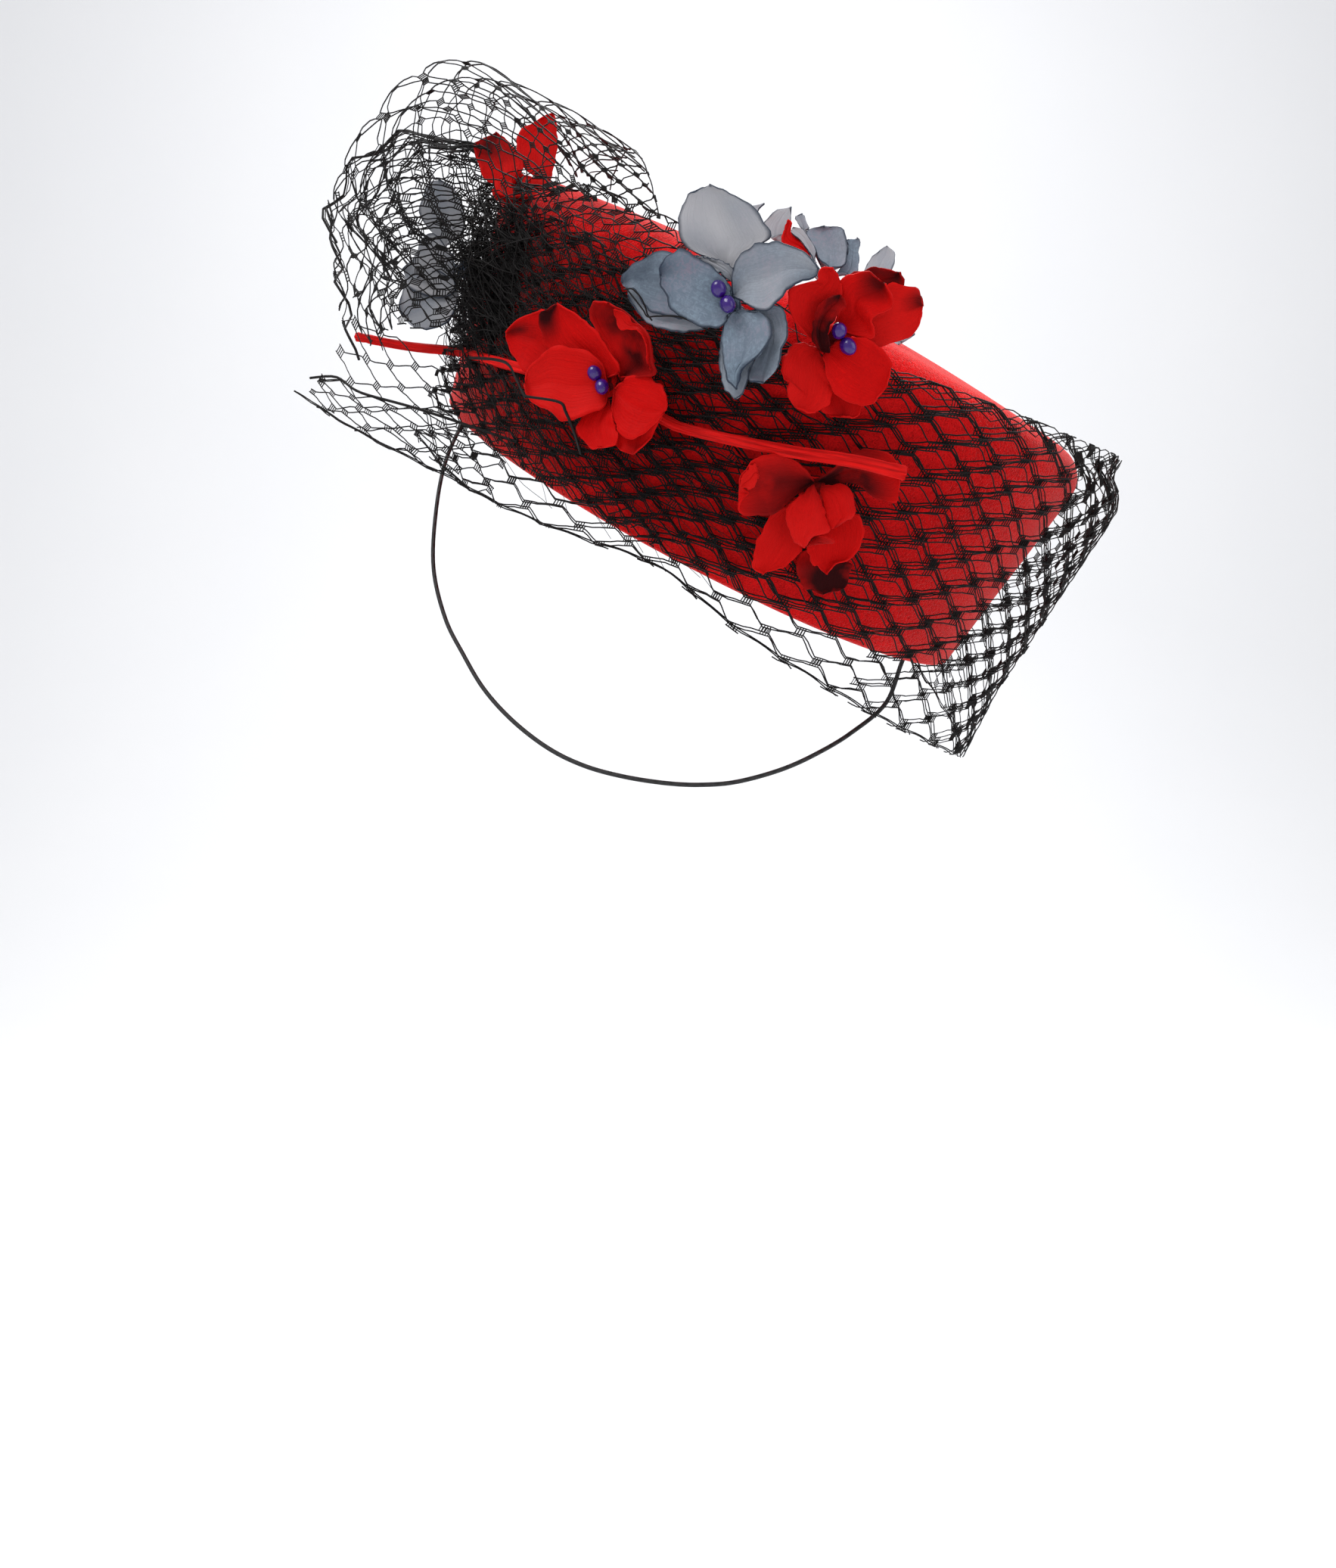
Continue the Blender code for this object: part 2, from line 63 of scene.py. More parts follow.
# Crown, in metres
CROWN_LENGTH = 0.1900
CROWN_WIDTH = 0.1672
CROWN_HEIGHT = 0.0713
RIM_INSET = 0.0063
EDGE_RADIUS = 0.0090
CROWN_DOME = 0.0060
FELT = 0.0025
RIM_ROUND = 0.0008
UNEVEN = ((0.035, 0.00045), (0.012, 0.00012))  # how far apart the felt's waves are, and how deep
STRAIGHT_WALL = CROWN_HEIGHT - EDGE_RADIUS - CROWN_DOME
OVAL_TURN = math.radians(-30)
TILT = Matrix.Rotation(math.radians(27.5), 4, "Y") @ Matrix.Rotation(math.radians(20.2), 4, "X")

# Netting, in metres: knots of two rails and four rungs, with strands running on between them
PITCH = 0.0145
ROW = 0.0039
RAIL = 0.0026
RAIL_GAP = 0.0018
KNOT_LEAN = 0.25
RUNGS = 4
STRAND_RADIUS = 0.00017
RUNG_SHARE = 0.85
SELVEDGE_SHARE = 2.1
THREAD_SHARE = 0.45
NET_WIDTH = 0.070
NET_CLEAR = 0.0012
SWAY_APART = 0.040  # the sway that every layer shares: how far apart, along and up the net
SWAY_ALONG = 0.0035
SWAY_UP = 0.0022
OWN_SWAY_APART = 0.020  # the sway of each layer by itself
HEM_STEP = 0.0025
DRAWN_LOOPS = 270
LOOSE_ENDS = 95
POUF_REACH = 0.0370
GATHER_ANGLE = -141
GATHER_PLACE = 0.53
GATHER_HEIGHT = 0.0300
GATHER_WIDTH = 0.0105
GATHER_DEPTH = 0.0060

# Silk flowers and beads, in metres
SILK = 0.00035
HUB_RADIUS = 0.0034
HUB_HEIGHT = 0.0020
SHANK_RADIUS = 0.0014
BEAD_DIAMETER = 0.0032
STEM_DIAMETER = 0.0025

# Camera, and the lights: place, size in metres, power in watts, colour, and where each is aimed
LENS = 25.19
CAMERA_PLACE = (-0.0094, -0.3424, -0.0815)
LIGHTS = (
    ("key", (-0.60, -0.70, 0.95), 0.7, 12.0, (1.0, 0.985, 0.96), (0, 0, 0)),
    ("fill", (0.9, -0.6, 0.35), 1.0, 4.0, (0.95, 0.97, 1.0), (0, 0, 0)),
    ("top", (0.25, 0.35, 1.0), 0.7, 9.0, (1, 1, 1), (0, 0, 0)),
    ("wall", (0.0, 0.5, 1.6), 1.5, 13.0, (0.98, 0.98, 1.0), (0.0, 2.2, 0.3)),
)
DAYLIGHT = ((0.96, 0.97, 1.0, 1), 0.62)

# Elastic, in metres, end to end as worn
CORD_DIAMETER = 0.0012
CORD_ROUTE = (
    (0.0601, -0.0487, -0.0395),
    (0.0549, -0.0442, -0.0468),
    (0.0508, -0.0400, -0.0590),
    (0.0406, -0.0436, -0.0675),
    (0.0299, -0.0519, -0.0735),
    (0.0199, -0.0571, -0.0778),
    (0.0084, -0.0611, -0.0809),
    (-0.0007, -0.0626, -0.0817),
    (-0.0098, -0.0631, -0.0813),
    (-0.0208, -0.0624, -0.0796),
    (-0.0310, -0.0599, -0.0768),
    (-0.0406, -0.0561, -0.0722),
    (-0.0506, -0.0506, -0.0648),
    (-0.0594, -0.0439, -0.0558),
    (-0.0665, -0.0369, -0.0453),
    (-0.0732, -0.0286, -0.0339),
    (-0.0784, -0.0196, -0.0180),
    (-0.0796, -0.0110, 0.0000),
    (-0.0786, -0.0020, 0.0180),
    (-0.0748, 0.0072, 0.0335),
    (-0.0704, 0.0131, 0.0432),
    (-0.0674, 0.0105, 0.0513),
)

# Net sheets round the crown: angle in degrees, heights as shares of the crown's height, and how
# far the net stands off the wall, as shares of the pouf's reach.
BAND_SECTIONS = (
    # angle, bottom, bottom_off, top, top_off
    (-150, -0.120, 0.240, 0.66, 0.110),
    (-142, -0.150, 0.170, 0.74, 0.060),
    (-133, -0.160, 0.120, 0.79, 0.034),
    (-120, -0.145, 0.070, 0.79, 0.034),
    (-104, -0.095, 0.034, 0.72, 0.034),
    (-88, -0.045, 0.034, 0.75, 0.034),
    (-72, -0.115, 0.050, 0.84, 0.034),
    (-50, -0.185, 0.120, 0.91, 0.100),
    (-32, -0.240, 0.280, 0.95, 0.170),
    (-16, -0.290, 0.470, 0.98, 0.280),
    (-4, -0.270, 0.380, 0.95, 0.230),
    (16, -0.180, 0.180, 0.86, 0.140),
    (45, -0.110, 0.070, 0.80, 0.050),
    (80, -0.070, 0.034, 0.78, 0.034),
    (118, -0.050, 0.034, 0.77, 0.034),
)

# Net drawn together at the gather, which spreads over the front of the crown
DRAWN_SECTIONS = (
    # angle, bottom, bottom_off, top, top_off
    (-144, 0.24, 0.150, 0.90, 0.110),
    (-133, 0.10, 0.100, 0.93, 0.060),
    (-120, 0.02, 0.080, 0.94, 0.040),
    (-108, 0.00, 0.060, 0.94, 0.035),
    (-90, 0.00, 0.050, 0.88, 0.030),
    (-72, -0.02, 0.060, 0.80, 0.045),
)

# Cut end of the net that fans out past the gather, and the fold of it that lies in front
FAN_SECTIONS = (
    # angle, bottom, bottom_off, top, top_off
    (-134.2, -0.160, 0.130, 0.18, 0.060),
    (-148.0, -0.180, 0.600, 0.16, 0.400),
    (-160.0, -0.170, 1.040, 0.26, 0.900),
)
FOLD_SECTIONS = (
    # angle, bottom, bottom_off, top, top_off
    (-122.0, -0.145, 0.090, 0.09, 0.080),
    (-132.5, -0.160, 0.120, 0.05, 0.150),
    (-141.0, -0.170, 0.400, 0.01, 0.420),
    (-150.0, -0.185, 0.720, -0.05, 0.680),
    (-156.5, -0.190, 0.930, -0.06, 0.820),
    (-160.0, -0.195, 1.060, -0.12, 0.980),
)

# Pouf of net: where its near edge leaves the band, its fold, and where its far edge comes down
POUF_SECTIONS = (
    # near_angle, near_height, fold_x, fold_y, fold_height, far_angle, far_height, far_off
    (-144, 0.40, -0.78, -0.30, 0.34, -156, 0.36, 0.20),
    (-142, 0.52, -0.90, -0.34, 0.50, -164, 0.52, 0.20),
    (-140, 0.64, -0.90, -0.33, 0.76, -172, 0.70, 0.22),
    (-137, 0.76, -0.85, -0.30, 1.02, -178, 0.84, 0.35),
    (-133, 0.84, -0.75, -0.30, 1.14, -180, 0.96, -0.20),
    (-127, 0.88, -0.62, -0.32, 1.14, -176, 0.97, -1.20),
    (-120, 0.90, -0.49, -0.37, 1.13, -165, 0.97, -1.50),
    (-112, 0.93, -0.35, -0.475, 1.09, -140, 0.97, -1.20),
)

# Flowers: the silk, whether beads sit on the heart, where the flower sits on the crown (angle,
# share of the height), how far its heart stands off the felt in metres and the way it faces
FLOWERS = {
    "flower_red_front": ("red_silk", True, -106.7, 0.415, 0.0085, 4, 0),
    "flower_blue_large": ("blue_silk", True, -93.6, 0.790, 0.0150, 6, -4),
    "flower_red_right": ("red_silk", True, -79.5, 0.840, 0.0106, 8, 6),
    "flower_red_drooping": ("red_silk", False, -72.9, 0.425, 0.0066, -6, 0),
    "flower_blue_behind": ("blue_silk", False, -79.0, 0.984, -0.0190, 62, 0),
    "flower_red_behind": ("red_silk", False, -93.0, 0.981, -0.0190, 58, 0),
    "flower_blue_left": ("blue_silk", False, -151.5, 0.520, 0.0080, 4, 24),
    "flower_red_left": ("red_silk", False, -148.0, 0.850, 0.0050, 30, 14),
}

# Views of the photo that the petals' points are given in: the pixel at the view's top left, and
# how far it is enlarged
PHOTO_SIZE = (1766, 2072)
FOCAL = 1450.0  # the camera's focal length, in the photo's pixels
VIEWS = {
    "front": (620, 370, 5.058),
    "large": (800, 230, 4.613),
    "right": (1010, 320, 6.03),
    "drooping": (950, 560, 5.6),
    "behind": (960, 240, 5.6),
    "left": (400, 60, 3.015),
}

# Petals: how far the blade is hollowed and its edge waved, in millimetres, where a dark patch lies,
# partly silk dyed dark and partly painted shade (share along, share across, reach, strength), how
# far the silk fades, the view of its points and its depth in millimetres, then its claw, one edge,
# its tip and the other edge, in the view's pixels. The depth is the height of the claw and of the
# tip over the heart, and how far each edge rises between them. In a flower with a lean it is how
# much nearer than the heart the petal stands, on a plane that leans back by so many degrees.
LEANS = {
    "flower_blue_behind": 12, "flower_red_behind": 12, "flower_red_left": 10, "flower_blue_left": 8,
}
PETALS = {
    "flower_red_front": (
        (1.2, 0.3, (0.88, 0.62, 0.2, 0.9), 0, "front", (0.2, 4.5, 0.6, 0), (860, 690),
         ((760, 700), (600, 680), (430, 640), (365, 610), (300, 520), (250, 410)),
         (246, 355),
         ((780, 560), (640, 400), (515, 215), (450, 208), (370, 235), (295, 290))),
        (1.6, 0.2, (0.86, 0.12, 0.24, 1), 0, "front", (0.8, 5, 0.2, 0.8), (920, 650),
         ((800, 600), (640, 520), (505, 440), (478, 340), (466, 280), (480, 215)),
         (590, 160),
         ((1010, 610), (950, 505), (895, 410), (850, 345), (790, 290), (715, 232))),
        (1.8, 0.3, (0.05, 0.5, 0.2, 0.5), 0.25, "front", (1.4, 7.5, 0.3, 1), (930, 730),
         ((880, 550), (790, 475), (660, 445), (540, 455), (440, 545), (380, 610)),
         (370, 700),
         ((900, 850), (800, 890), (690, 938), (600, 935), (520, 865), (410, 810))),
        (3.4, 0.2, (0.5, 0.55, 0.5, 0.95), 0, "front", (1, 7, 0.4, 2.6), (1010, 650),
         ((960, 520), (900, 420), (850, 340), (808, 250), (805, 190), (850, 140)),
         (930, 150),
         ((1120, 648), (1245, 628), (1228, 540), (1215, 420), (1150, 312), (1040, 215))),
        (0.2, 0, (0, 0, 0, 0), 0.1, "front", (4, 7.6, 0.6, 1.6), (1245, 628),
         ((1230, 560), (1226, 480), (1212, 405), (1150, 310), (1095, 285), (1040, 215)),
         (965, 200),
         ((1190, 560), (1192, 480), (1165, 385), (1110, 330), (1020, 325), (985, 270))),
        (1, 0.25, (0.95, 0.8, 0.1, 0.2), 0, "front", (1.6, 4.4, 0.8, 0.2), (970, 730),
         ((1060, 650), (1170, 643), (1250, 680), (1305, 740), (1327, 810)),
         (1300, 890),
         ((950, 850), (975, 960), (1020, 1040), (1110, 1062), (1225, 970))),
        (0.4, 0.7, (0.9, 0.4, 0.3, 0.35), 0, "front", (0.6, 2.2, 0.2, 1), (980, 860),
         ((940, 980), (985, 1060), (992, 1110), (1035, 1150)),
         (1105, 1160),
         ((1160, 900), (1290, 895), (1262, 960), (1205, 1060))),
        (0.8, 0.5, (0.05, 0.5, 0.1, 0.2), 0, "front", (1.3, 4.6, 0.8, 0.4), (930, 800),
         ((850, 840), (780, 885), (735, 950), (722, 1010), (760, 1070), (815, 1118)),
         (890, 1112),
         ((955, 880), (968, 950), (990, 1040), (985, 1095), (950, 1112))),
    ),
    "flower_blue_large": (
        (0.8, 0.3, (0, 0, 0, 0), 0.95, "large", (-1, 3.5, -0.4, 0.2), (730, 640),
         ((640, 520), (520, 470), (455, 380), (447, 270), (472, 185), (520, 110)),
         (640, 68),
         ((790, 560), (870, 470), (1005, 395), (975, 300), (915, 220), (830, 150))),
        (0.7, 0.5, (0.9, 0.3, 0.35, 0.55), 0.15, "large", (-0.6, 2.6, 0.3, 0.4), (700, 780),
         ((520, 580), (390, 468), (290, 470), (240, 520), (170, 548), (120, 600)),
         (102, 660),
         ((570, 880), (400, 870), (290, 845), (230, 790), (180, 705), (125, 695))),
        (0.4, 0.8, (0, 0, 0, 0), 0.4, "large", (-1, 1.2, 0, 0.4), (720, 850),
         ((420, 740), (250, 700), (140, 700)),
         (140, 745),
         ((620, 940), (420, 962), (260, 905), (185, 820))),
        (0.2, 0.1, (0, 0, 0, 0), 0.8, "large", (0.6, 2.2, 0.2, 0.2), (775, 650),
         ((690, 600), (600, 530), (545, 505)),
         (560, 498),
         ((785, 590), (740, 545), (640, 515))),
        (1.6, 0.3, (0.95, 0.95, 0.3, 0.6), 0.45, "large", (0.8, 6.4, 0.6, 1.2), (780, 740),
         ((775, 620), (810, 500), (870, 455), (1000, 408), (1110, 425), (1210, 475)),
         (1302, 575),
         ((870, 800), (970, 832), (1045, 780), (1110, 700), (1200, 655), (1280, 625))),
        (0.5, 0.3, (0, 0, 0, 0), 0.35, "large", (0.2, 3, 0.4, 0.4), (800, 850),
         ((715, 960), (698, 1100), (697, 1200), (722, 1295)),
         (790, 1373),
         ((930, 1000), (900, 1150), (860, 1270), (838, 1335))),
        (0.6, 1, (0.8, 0.3, 0.4, 0.5), 0.3, "large", (0.4, 2.6, 0.2, 1), (860, 840),
         ((940, 1000), (900, 1150), (870, 1240), (900, 1265)),
         (960, 1273),
         ((1050, 800), (1100, 880), (1112, 960), (1085, 1060), (1060, 1165))),
        (1.2, 0.3, (0.9, 0.9, 0.22, 0.8), 0.1, "large", (1.2, 4.6, 0.5, 1.6), (800, 830),
         ((712, 930), (708, 1050), (722, 1160), (748, 1255)),
         (800, 1312),
         ((960, 838), (1005, 920), (1000, 1010), (950, 1100), (850, 1165))),
        (1.4, 0.5, (0.98, 0.15, 0.25, 0.7), 0.1, "large", (1.4, 6.4, 1, 0.2), (745, 790),
         ((760, 680), (690, 590), (580, 525), (480, 466), (390, 480), (335, 560)),
         (335, 620),
         ((730, 920), (620, 935), (500, 885), (410, 830), (380, 750), (345, 690))),
    ),
    "flower_red_right": (
        (0.8, 0.9, (0, 0, 0, 0), 0.2, "right", (0.2, 3.2, 0.6, 0.6), (430, 850),
         ((260, 800), (175, 890), (130, 990), (160, 1085), (205, 1100), (180, 1195)),
         (260, 1320),
         ((470, 950), (500, 1080), (545, 1180), (520, 1290), (462, 1325), (390, 1362))),
        (0.3, 0.6, (0.9, 0.5, 0.4, 0.3), 0, "right", (-0.6, 1, 0, 0.4), (500, 1000),
         ((450, 1180), (455, 1310), (490, 1370)),
         (610, 1393),
         ((660, 1150), (780, 1280), (745, 1385))),
        (0.5, 0.6, (0.95, 0.5, 0.55, 0.95), 0, "right", (-0.6, 2.6, 0.2, 0.6), (600, 640),
         ((600, 420), (680, 262), (800, 225), (880, 198)),
         (1080, 240),
         ((860, 560), (1010, 420), (1120, 345))),
        (0.6, 0.7, (0.97, 0.35, 0.24, 0.9), 0.25, "right", (0.4, 3.4, 0.3, 0.8), (640, 720),
         ((800, 500), (960, 340), (1120, 338), (1200, 355), (1255, 410)),
         (1262, 510),
         ((830, 800), (890, 832), (1050, 790), (1185, 735), (1240, 620))),
        (1.6, 0.4, (0.88, 0.35, 0.3, 0.85), 0, "right", (0.8, 5.4, 0.5, 1.6), (560, 680),
         ((600, 520), (615, 400), (610, 300), (700, 255), (830, 235)),
         (970, 330),
         ((700, 740), (830, 765), (885, 735), (860, 600), (980, 555), (1030, 490))),
        (0.9, 0.5, (0.3, 0.9, 0.3, 0.5), 0.15, "right", (0.6, 4.6, 0.5, 0.4), (460, 830),
         ((340, 740), (240, 620), (190, 440), (215, 365), (330, 325), (430, 305), (440, 215)),
         (545, 213),
         ((500, 700), (540, 540), (590, 470), (622, 400), (605, 300), (580, 240))),
        (0.3, 0.2, (0.45, 0.5, 0.9, 1), 0, "right", (1.6, 6, -0.2, 1.6), (470, 870),
         ((400, 800), (385, 700), (420, 530), (510, 445)),
         (610, 420),
         ((525, 870), (515, 700), (610, 555), (650, 500))),
        (1, 0.2, (0, 0, 0, 0), 0, "right", (1.4, 5, 0.8, 0.4), (515, 880),
         ((590, 780), (690, 750), (800, 765), (910, 830), (1000, 930), (1018, 1010)),
         (970, 1160),
         ((470, 900), (490, 1000), (510, 1110), (580, 1210), (690, 1275), (850, 1285))),
    ),
    "flower_red_drooping": (
        (0.4, 0.4, (0.8, 0.7, 0.8, 1), 0, "drooping", (-1.4, 0.6, 0, 0.2), (720, 880),
         ((610, 970), (570, 1040), (590, 1140), (635, 1212)),
         (770, 1258),
         ((880, 1020), (985, 1030), (975, 1110), (920, 1215))),
        (0.8, 0.5, (0, 0, 0, 0), 0.15, "drooping", (-0.4, 3, 0.8, 0.3), (600, 560),
         ((400, 660), (330, 780), (270, 900), (262, 990), (248, 1065)),
         (330, 1108),
         ((620, 850), (600, 940), (520, 1030), (430, 1075), (390, 1090))),
        (1.2, 0.4, (0, 0, 0, 0), 0, "drooping", (0, 4, 0.2, 1.2), (800, 720),
         ((690, 850), (652, 930), (690, 1020), (745, 1075)),
         (797, 1115),
         ((900, 740), (1010, 665), (1062, 720), (1078, 820), (1040, 930), (955, 1012),
         (880, 1030))),
        (0.9, 0.4, (0.22, 0.6, 0.5, 0.8), 0.1, "drooping", (0.8, 4.4, 0.9, 0.2), (705, 430),
         ((640, 330), (540, 255), (420, 222), (290, 255), (200, 335), (155, 440)),
         (225, 510),
         ((560, 540), (470, 620), (390, 668), (270, 677), (170, 665), (148, 615))),
        (0, 0, (0, 0, 0, 0), 0.3, "drooping", (4.6, 5, 0, 0.4), (300, 375),
         ((270, 290), (215, 335), (170, 400)),
         (158, 468),
         ((280, 420), (262, 460), (235, 480))),
        (0.8, 0.3, (0.25, 0.6, 0.55, 0.9), 0, "drooping", (0.6, 2.6, 0.9, 0.2), (720, 430),
         ((830, 345), (950, 240), (1080, 192), (1200, 198), (1290, 250)),
         (1345, 370),
         ((830, 445), (1000, 440), (1090, 500), (1190, 565), (1320, 570))),
        (-1.4, 0.2, (0.97, 0.7, 0.16, 0.7), 0.1, "drooping", (2.4, 5.4, 0.4, 0.2), (755, 470),
         ((765, 560), (790, 680), (815, 760)),
         (850, 770),
         ((920, 448), (980, 520), (1006, 600), (1012, 665), (935, 715))),
        (-1.8, 0.2, (0, 0, 0, 0), 0.2, "drooping", (2.6, 6.6, 0.2, 0.3), (700, 450),
         ((590, 540), (515, 610), (500, 690), (520, 790), (565, 870)),
         (632, 918),
         ((730, 520), (765, 600), (800, 720), (810, 800), (700, 830))),
        (0, 0.1, (0.4, 0.5, 0.5, 0.5), 0.3, "drooping", (5, 6, 0.2, 0.6), (700, 840),
         ((690, 880), (660, 905)),
         (780, 868),
         ((770, 830), (830, 850), (862, 882))),
    ),
    "flower_blue_behind": (
        (1.2, 0.4, (0.12, 0.45, 0.3, 0.9), 0.25, "behind", 0, (765, 650),
         ((690, 590), (660, 520), (620, 430), (598, 370), (650, 340)),
         (720, 335),
         ((870, 620), (905, 510), (885, 420), (850, 352), (790, 340))),
        (0.5, 0.4, (0.1, 0.5, 0.3, 0.6), 0.15, "behind", -1.2, (820, 690),
         ((880, 580), (900, 480), (888, 430), (925, 424)),
         (965, 425),
         ((930, 700), (978, 670), (982, 560), (988, 450))),
        (0.2, 0.2, (0, 0, 0, 0), 0.6, "behind", -2.2, (600, 400),
         ((550, 340), (520, 290), (502, 265)),
         (556, 242),
         ((612, 350), (596, 290), (580, 250))),
        (0.8, 0.3, (0.25, 0.2, 0.2, 0.5), 0.8, "behind", -1, (470, 440),
         ((400, 380), (330, 415), (295, 360), (274, 315), (330, 245), (400, 203)),
         (482, 185),
         ((480, 390), (482, 300), (478, 240))),
        (0.2, 0.2, (0, 0, 0, 0), 0.8, "behind", 0.8, (668, 620),
         ((600, 510), (540, 425), (484, 375)),
         (495, 342),
         ((662, 520), (620, 425), (560, 360))),
        (0.1, 0.1, (0, 0, 0, 0), 0.8, "behind", -2, (240, 280),
         ((190, 215), (163, 190), (205, 180)),
         (282, 163),
         ((240, 225), (240, 192), (270, 180))),
        (0.3, 0.2, (0, 0, 0, 0), 0.8, "behind", -2.6, (1110, 800),
         ((1015, 690), (1055, 590), (1120, 525)),
         (1188, 474),
         ((1205, 760), (1225, 640), (1255, 540))),
        (0.2, 0.3, (0, 0, 0, 0), 0.6, "right", -1, (800, 700),
         ((830, 830), (890, 850), (960, 868)),
         (1090, 800),
         ((1000, 700), (1185, 720), (1190, 745))),
    ),
    "flower_red_behind": (
        (0.3, 0.2, (0, 0, 0, 0), 0, "behind", 0, (640, 610),
         ((590, 545), (550, 500), (480, 470), (411, 450), (425, 370)),
         (455, 287),
         ((652, 580), (612, 490), (556, 440), (476, 376), (486, 315))),
    ),
    "flower_blue_left": (
        (0.8, 0.9, (0, 0, 0, 0), 0.75, "left", -1, (560, 800),
         ((480, 700), (480, 600), (500, 550)),
         (545, 535),
         ((640, 760), (640, 650), (600, 570))),
        (0.9, 0.9, (0.1, 0.5, 0.2, 0.3), 0.8, "left", 0.5, (610, 880),
         ((560, 780), (500, 750), (450, 810), (430, 860)),
         (405, 900),
         ((600, 980), (520, 1000), (420, 960))),
        (0.9, 0.9, (0, 0, 0, 0), 0.8, "left", 0, (610, 930),
         ((520, 900), (430, 930), (392, 1000)),
         (405, 1080),
         ((610, 1060), (540, 1130), (440, 1120))),
    ),
    "flower_red_left": (
        (0.8, 0.3, (0.95, 0.4, 0.45, 1), 0, "left", 0.5, (800, 560),
         ((730, 530), (700, 470), (682, 420), (690, 385)),
         (770, 348),
         ((860, 520), (882, 465), (860, 420), (800, 365))),
        (1, 0.3, (0, 0, 0, 0), 0, "left", -0.5, (950, 540),
         ((880, 480), (852, 410), (865, 340), (930, 300)),
         (1000, 272),
         ((985, 540), (1002, 470), (1016, 380), (1015, 330))),
        (0.5, 0.3, (0, 0, 0, 0), 0.3, "left", 1.2, (880, 600),
         ((800, 600), (762, 560), (780, 530)),
         (870, 515),
         ((960, 600), (990, 560), (960, 535))),
        (0.4, 0.3, (0, 0, 0, 0), 0, "left", 0, (820, 640),
         ((760, 600), (770, 560)),
         (850, 560),
         ((930, 640), (960, 590))),
    ),
}

# Flowers whose claws above are seen only part of the way, and run on down to this point in the
# heart, in millimetres in the flower's own frame
CLAWED = ("flower_blue_behind", "flower_red_behind", "flower_blue_left")
CLAW_ROOT = (0, 0, -0.4)

# Lobe of net that stands out past the gather, from its top round to the stem: pixels of the photo,
# each with its depth from the camera in millimetres
LOBE_SECTIONS = (
    # inner x, y, depth, outer x, y, depth
    (700, 236, 286, 640, 215, 292),
    (690, 246, 285, 614, 191, 296),
    (680, 258, 285, 562, 182, 300),
    (670, 270, 284, 522, 173, 302),
    (662, 284, 284, 493, 204, 302),
    (655, 298, 283, 467, 218, 303),
    (650, 312, 283, 453, 251, 303),
    (645, 326, 282, 434, 276, 302),
    (642, 340, 282, 438, 302, 300),
    (640, 354, 281, 447, 331, 298),
    (638, 368, 280, 452, 352, 296),
    (636, 382, 280, 449, 372, 294),
    (634, 396, 279, 460, 400, 292),
    (632, 412, 278, 462, 426, 290),
    (630.5, 427.5, 277, 464.7, 446.6, 288.1),
    (628.2, 443.5, 276.1, 472, 472, 286),
)

# Stray threads that lie over the flowers: the flower, the thread's thickness, and pixels of the
# photo, each with its height over the flower's heart in millimetres
STRAY_THREADS = (
    ("flower_red_front", SELVEDGE_SHARE, (
        (620, 473, -5), (654, 475, -3), (672, 482, 1), (683, 503, 6.5), (693, 523, 9.2),
        (699, 524, 9.4), (739, 531, 9.0), (748, 545, 8.4), (760, 574, 5), (768, 600, -2),
    )),
    ("flower_blue_large", 1.0, (
        (824, 382, 1.5), (829, 382, 2.6), (836, 382, 4.2), (847, 393, 4.4), (853, 406, 4.0),
        (856, 415, 3.8), (862, 424, 3.4),
    )),
    ("flower_blue_large", 1.0, (
        (829, 382, 2.8), (840, 396, 3.6), (850, 410, 4.2), (856, 418, 4.2), (868, 418, 4.4),
        (898, 419, 4.2), (930, 433, 2.0), (960, 452, -2),
    )),
)

# Ribbon stems, through points on the crown: angle, share of the height, distance off the felt and
# width, both as shares of the stem's diameter
STEMS = {
    "stem_right": (
        (-99.5, 0.405, 1.5, 1.00),
        (-94.0, 0.405, 2.0, 1.00),
        (-86.0, 0.450, 3.9, 1.00),
        (-78.0, 0.505, 4.9, 1.08),
        (-71.0, 0.560, 5.2, 1.16),
        (-64.5, 0.595, 5.0, 1.30),
    ),
    "stem_left": (
        (-111.0, 0.385, 1.6, 1.00),
        (-124.0, 0.325, 1.9, 1.00),
        (-138.0, 0.272, 2.1, 1.00),
        (-149.0, 0.231, 2.6, 1.00),
        (-154.0, 0.167, 6.5, 1.00),
        (-158.5, 0.105, 11.6, 1.00),
    ),
}


def wall_radius(angle, height):
    """Distance of the crown's outer face from its axis, at this angle about it and this height."""
    turned = angle - OVAL_TURN
    half_length = CROWN_LENGTH / 2
    half_width = CROWN_WIDTH / 2
    oval = half_length * half_width / math.hypot(
        half_width * math.cos(turned), half_length * math.sin(turned)
    )
    level = min(max(height, 0.0), STRAIGHT_WALL + 0.9 * EDGE_RADIUS)
    if level <= STRAIGHT_WALL:
        return oval - RIM_INSET * (1 - level / STRAIGHT_WALL)
    rise = level - STRAIGHT_WALL
    return oval - EDGE_RADIUS + math.sqrt(EDGE_RADIUS**2 - rise**2)


def on_crown(angle, height, off=0.0):
    """A point this far off the crown's outer face, in the hat's own frame."""
    radius = wall_radius(angle, height) + off
    return Vector((radius * math.cos(angle), radius * math.sin(angle), height))


def on_felt(degrees, share, off=0.0):
    """The same point, by its angle in degrees and its share of the crown's height."""
    return on_crown(math.radians(degrees), share * CROWN_HEIGHT, off)


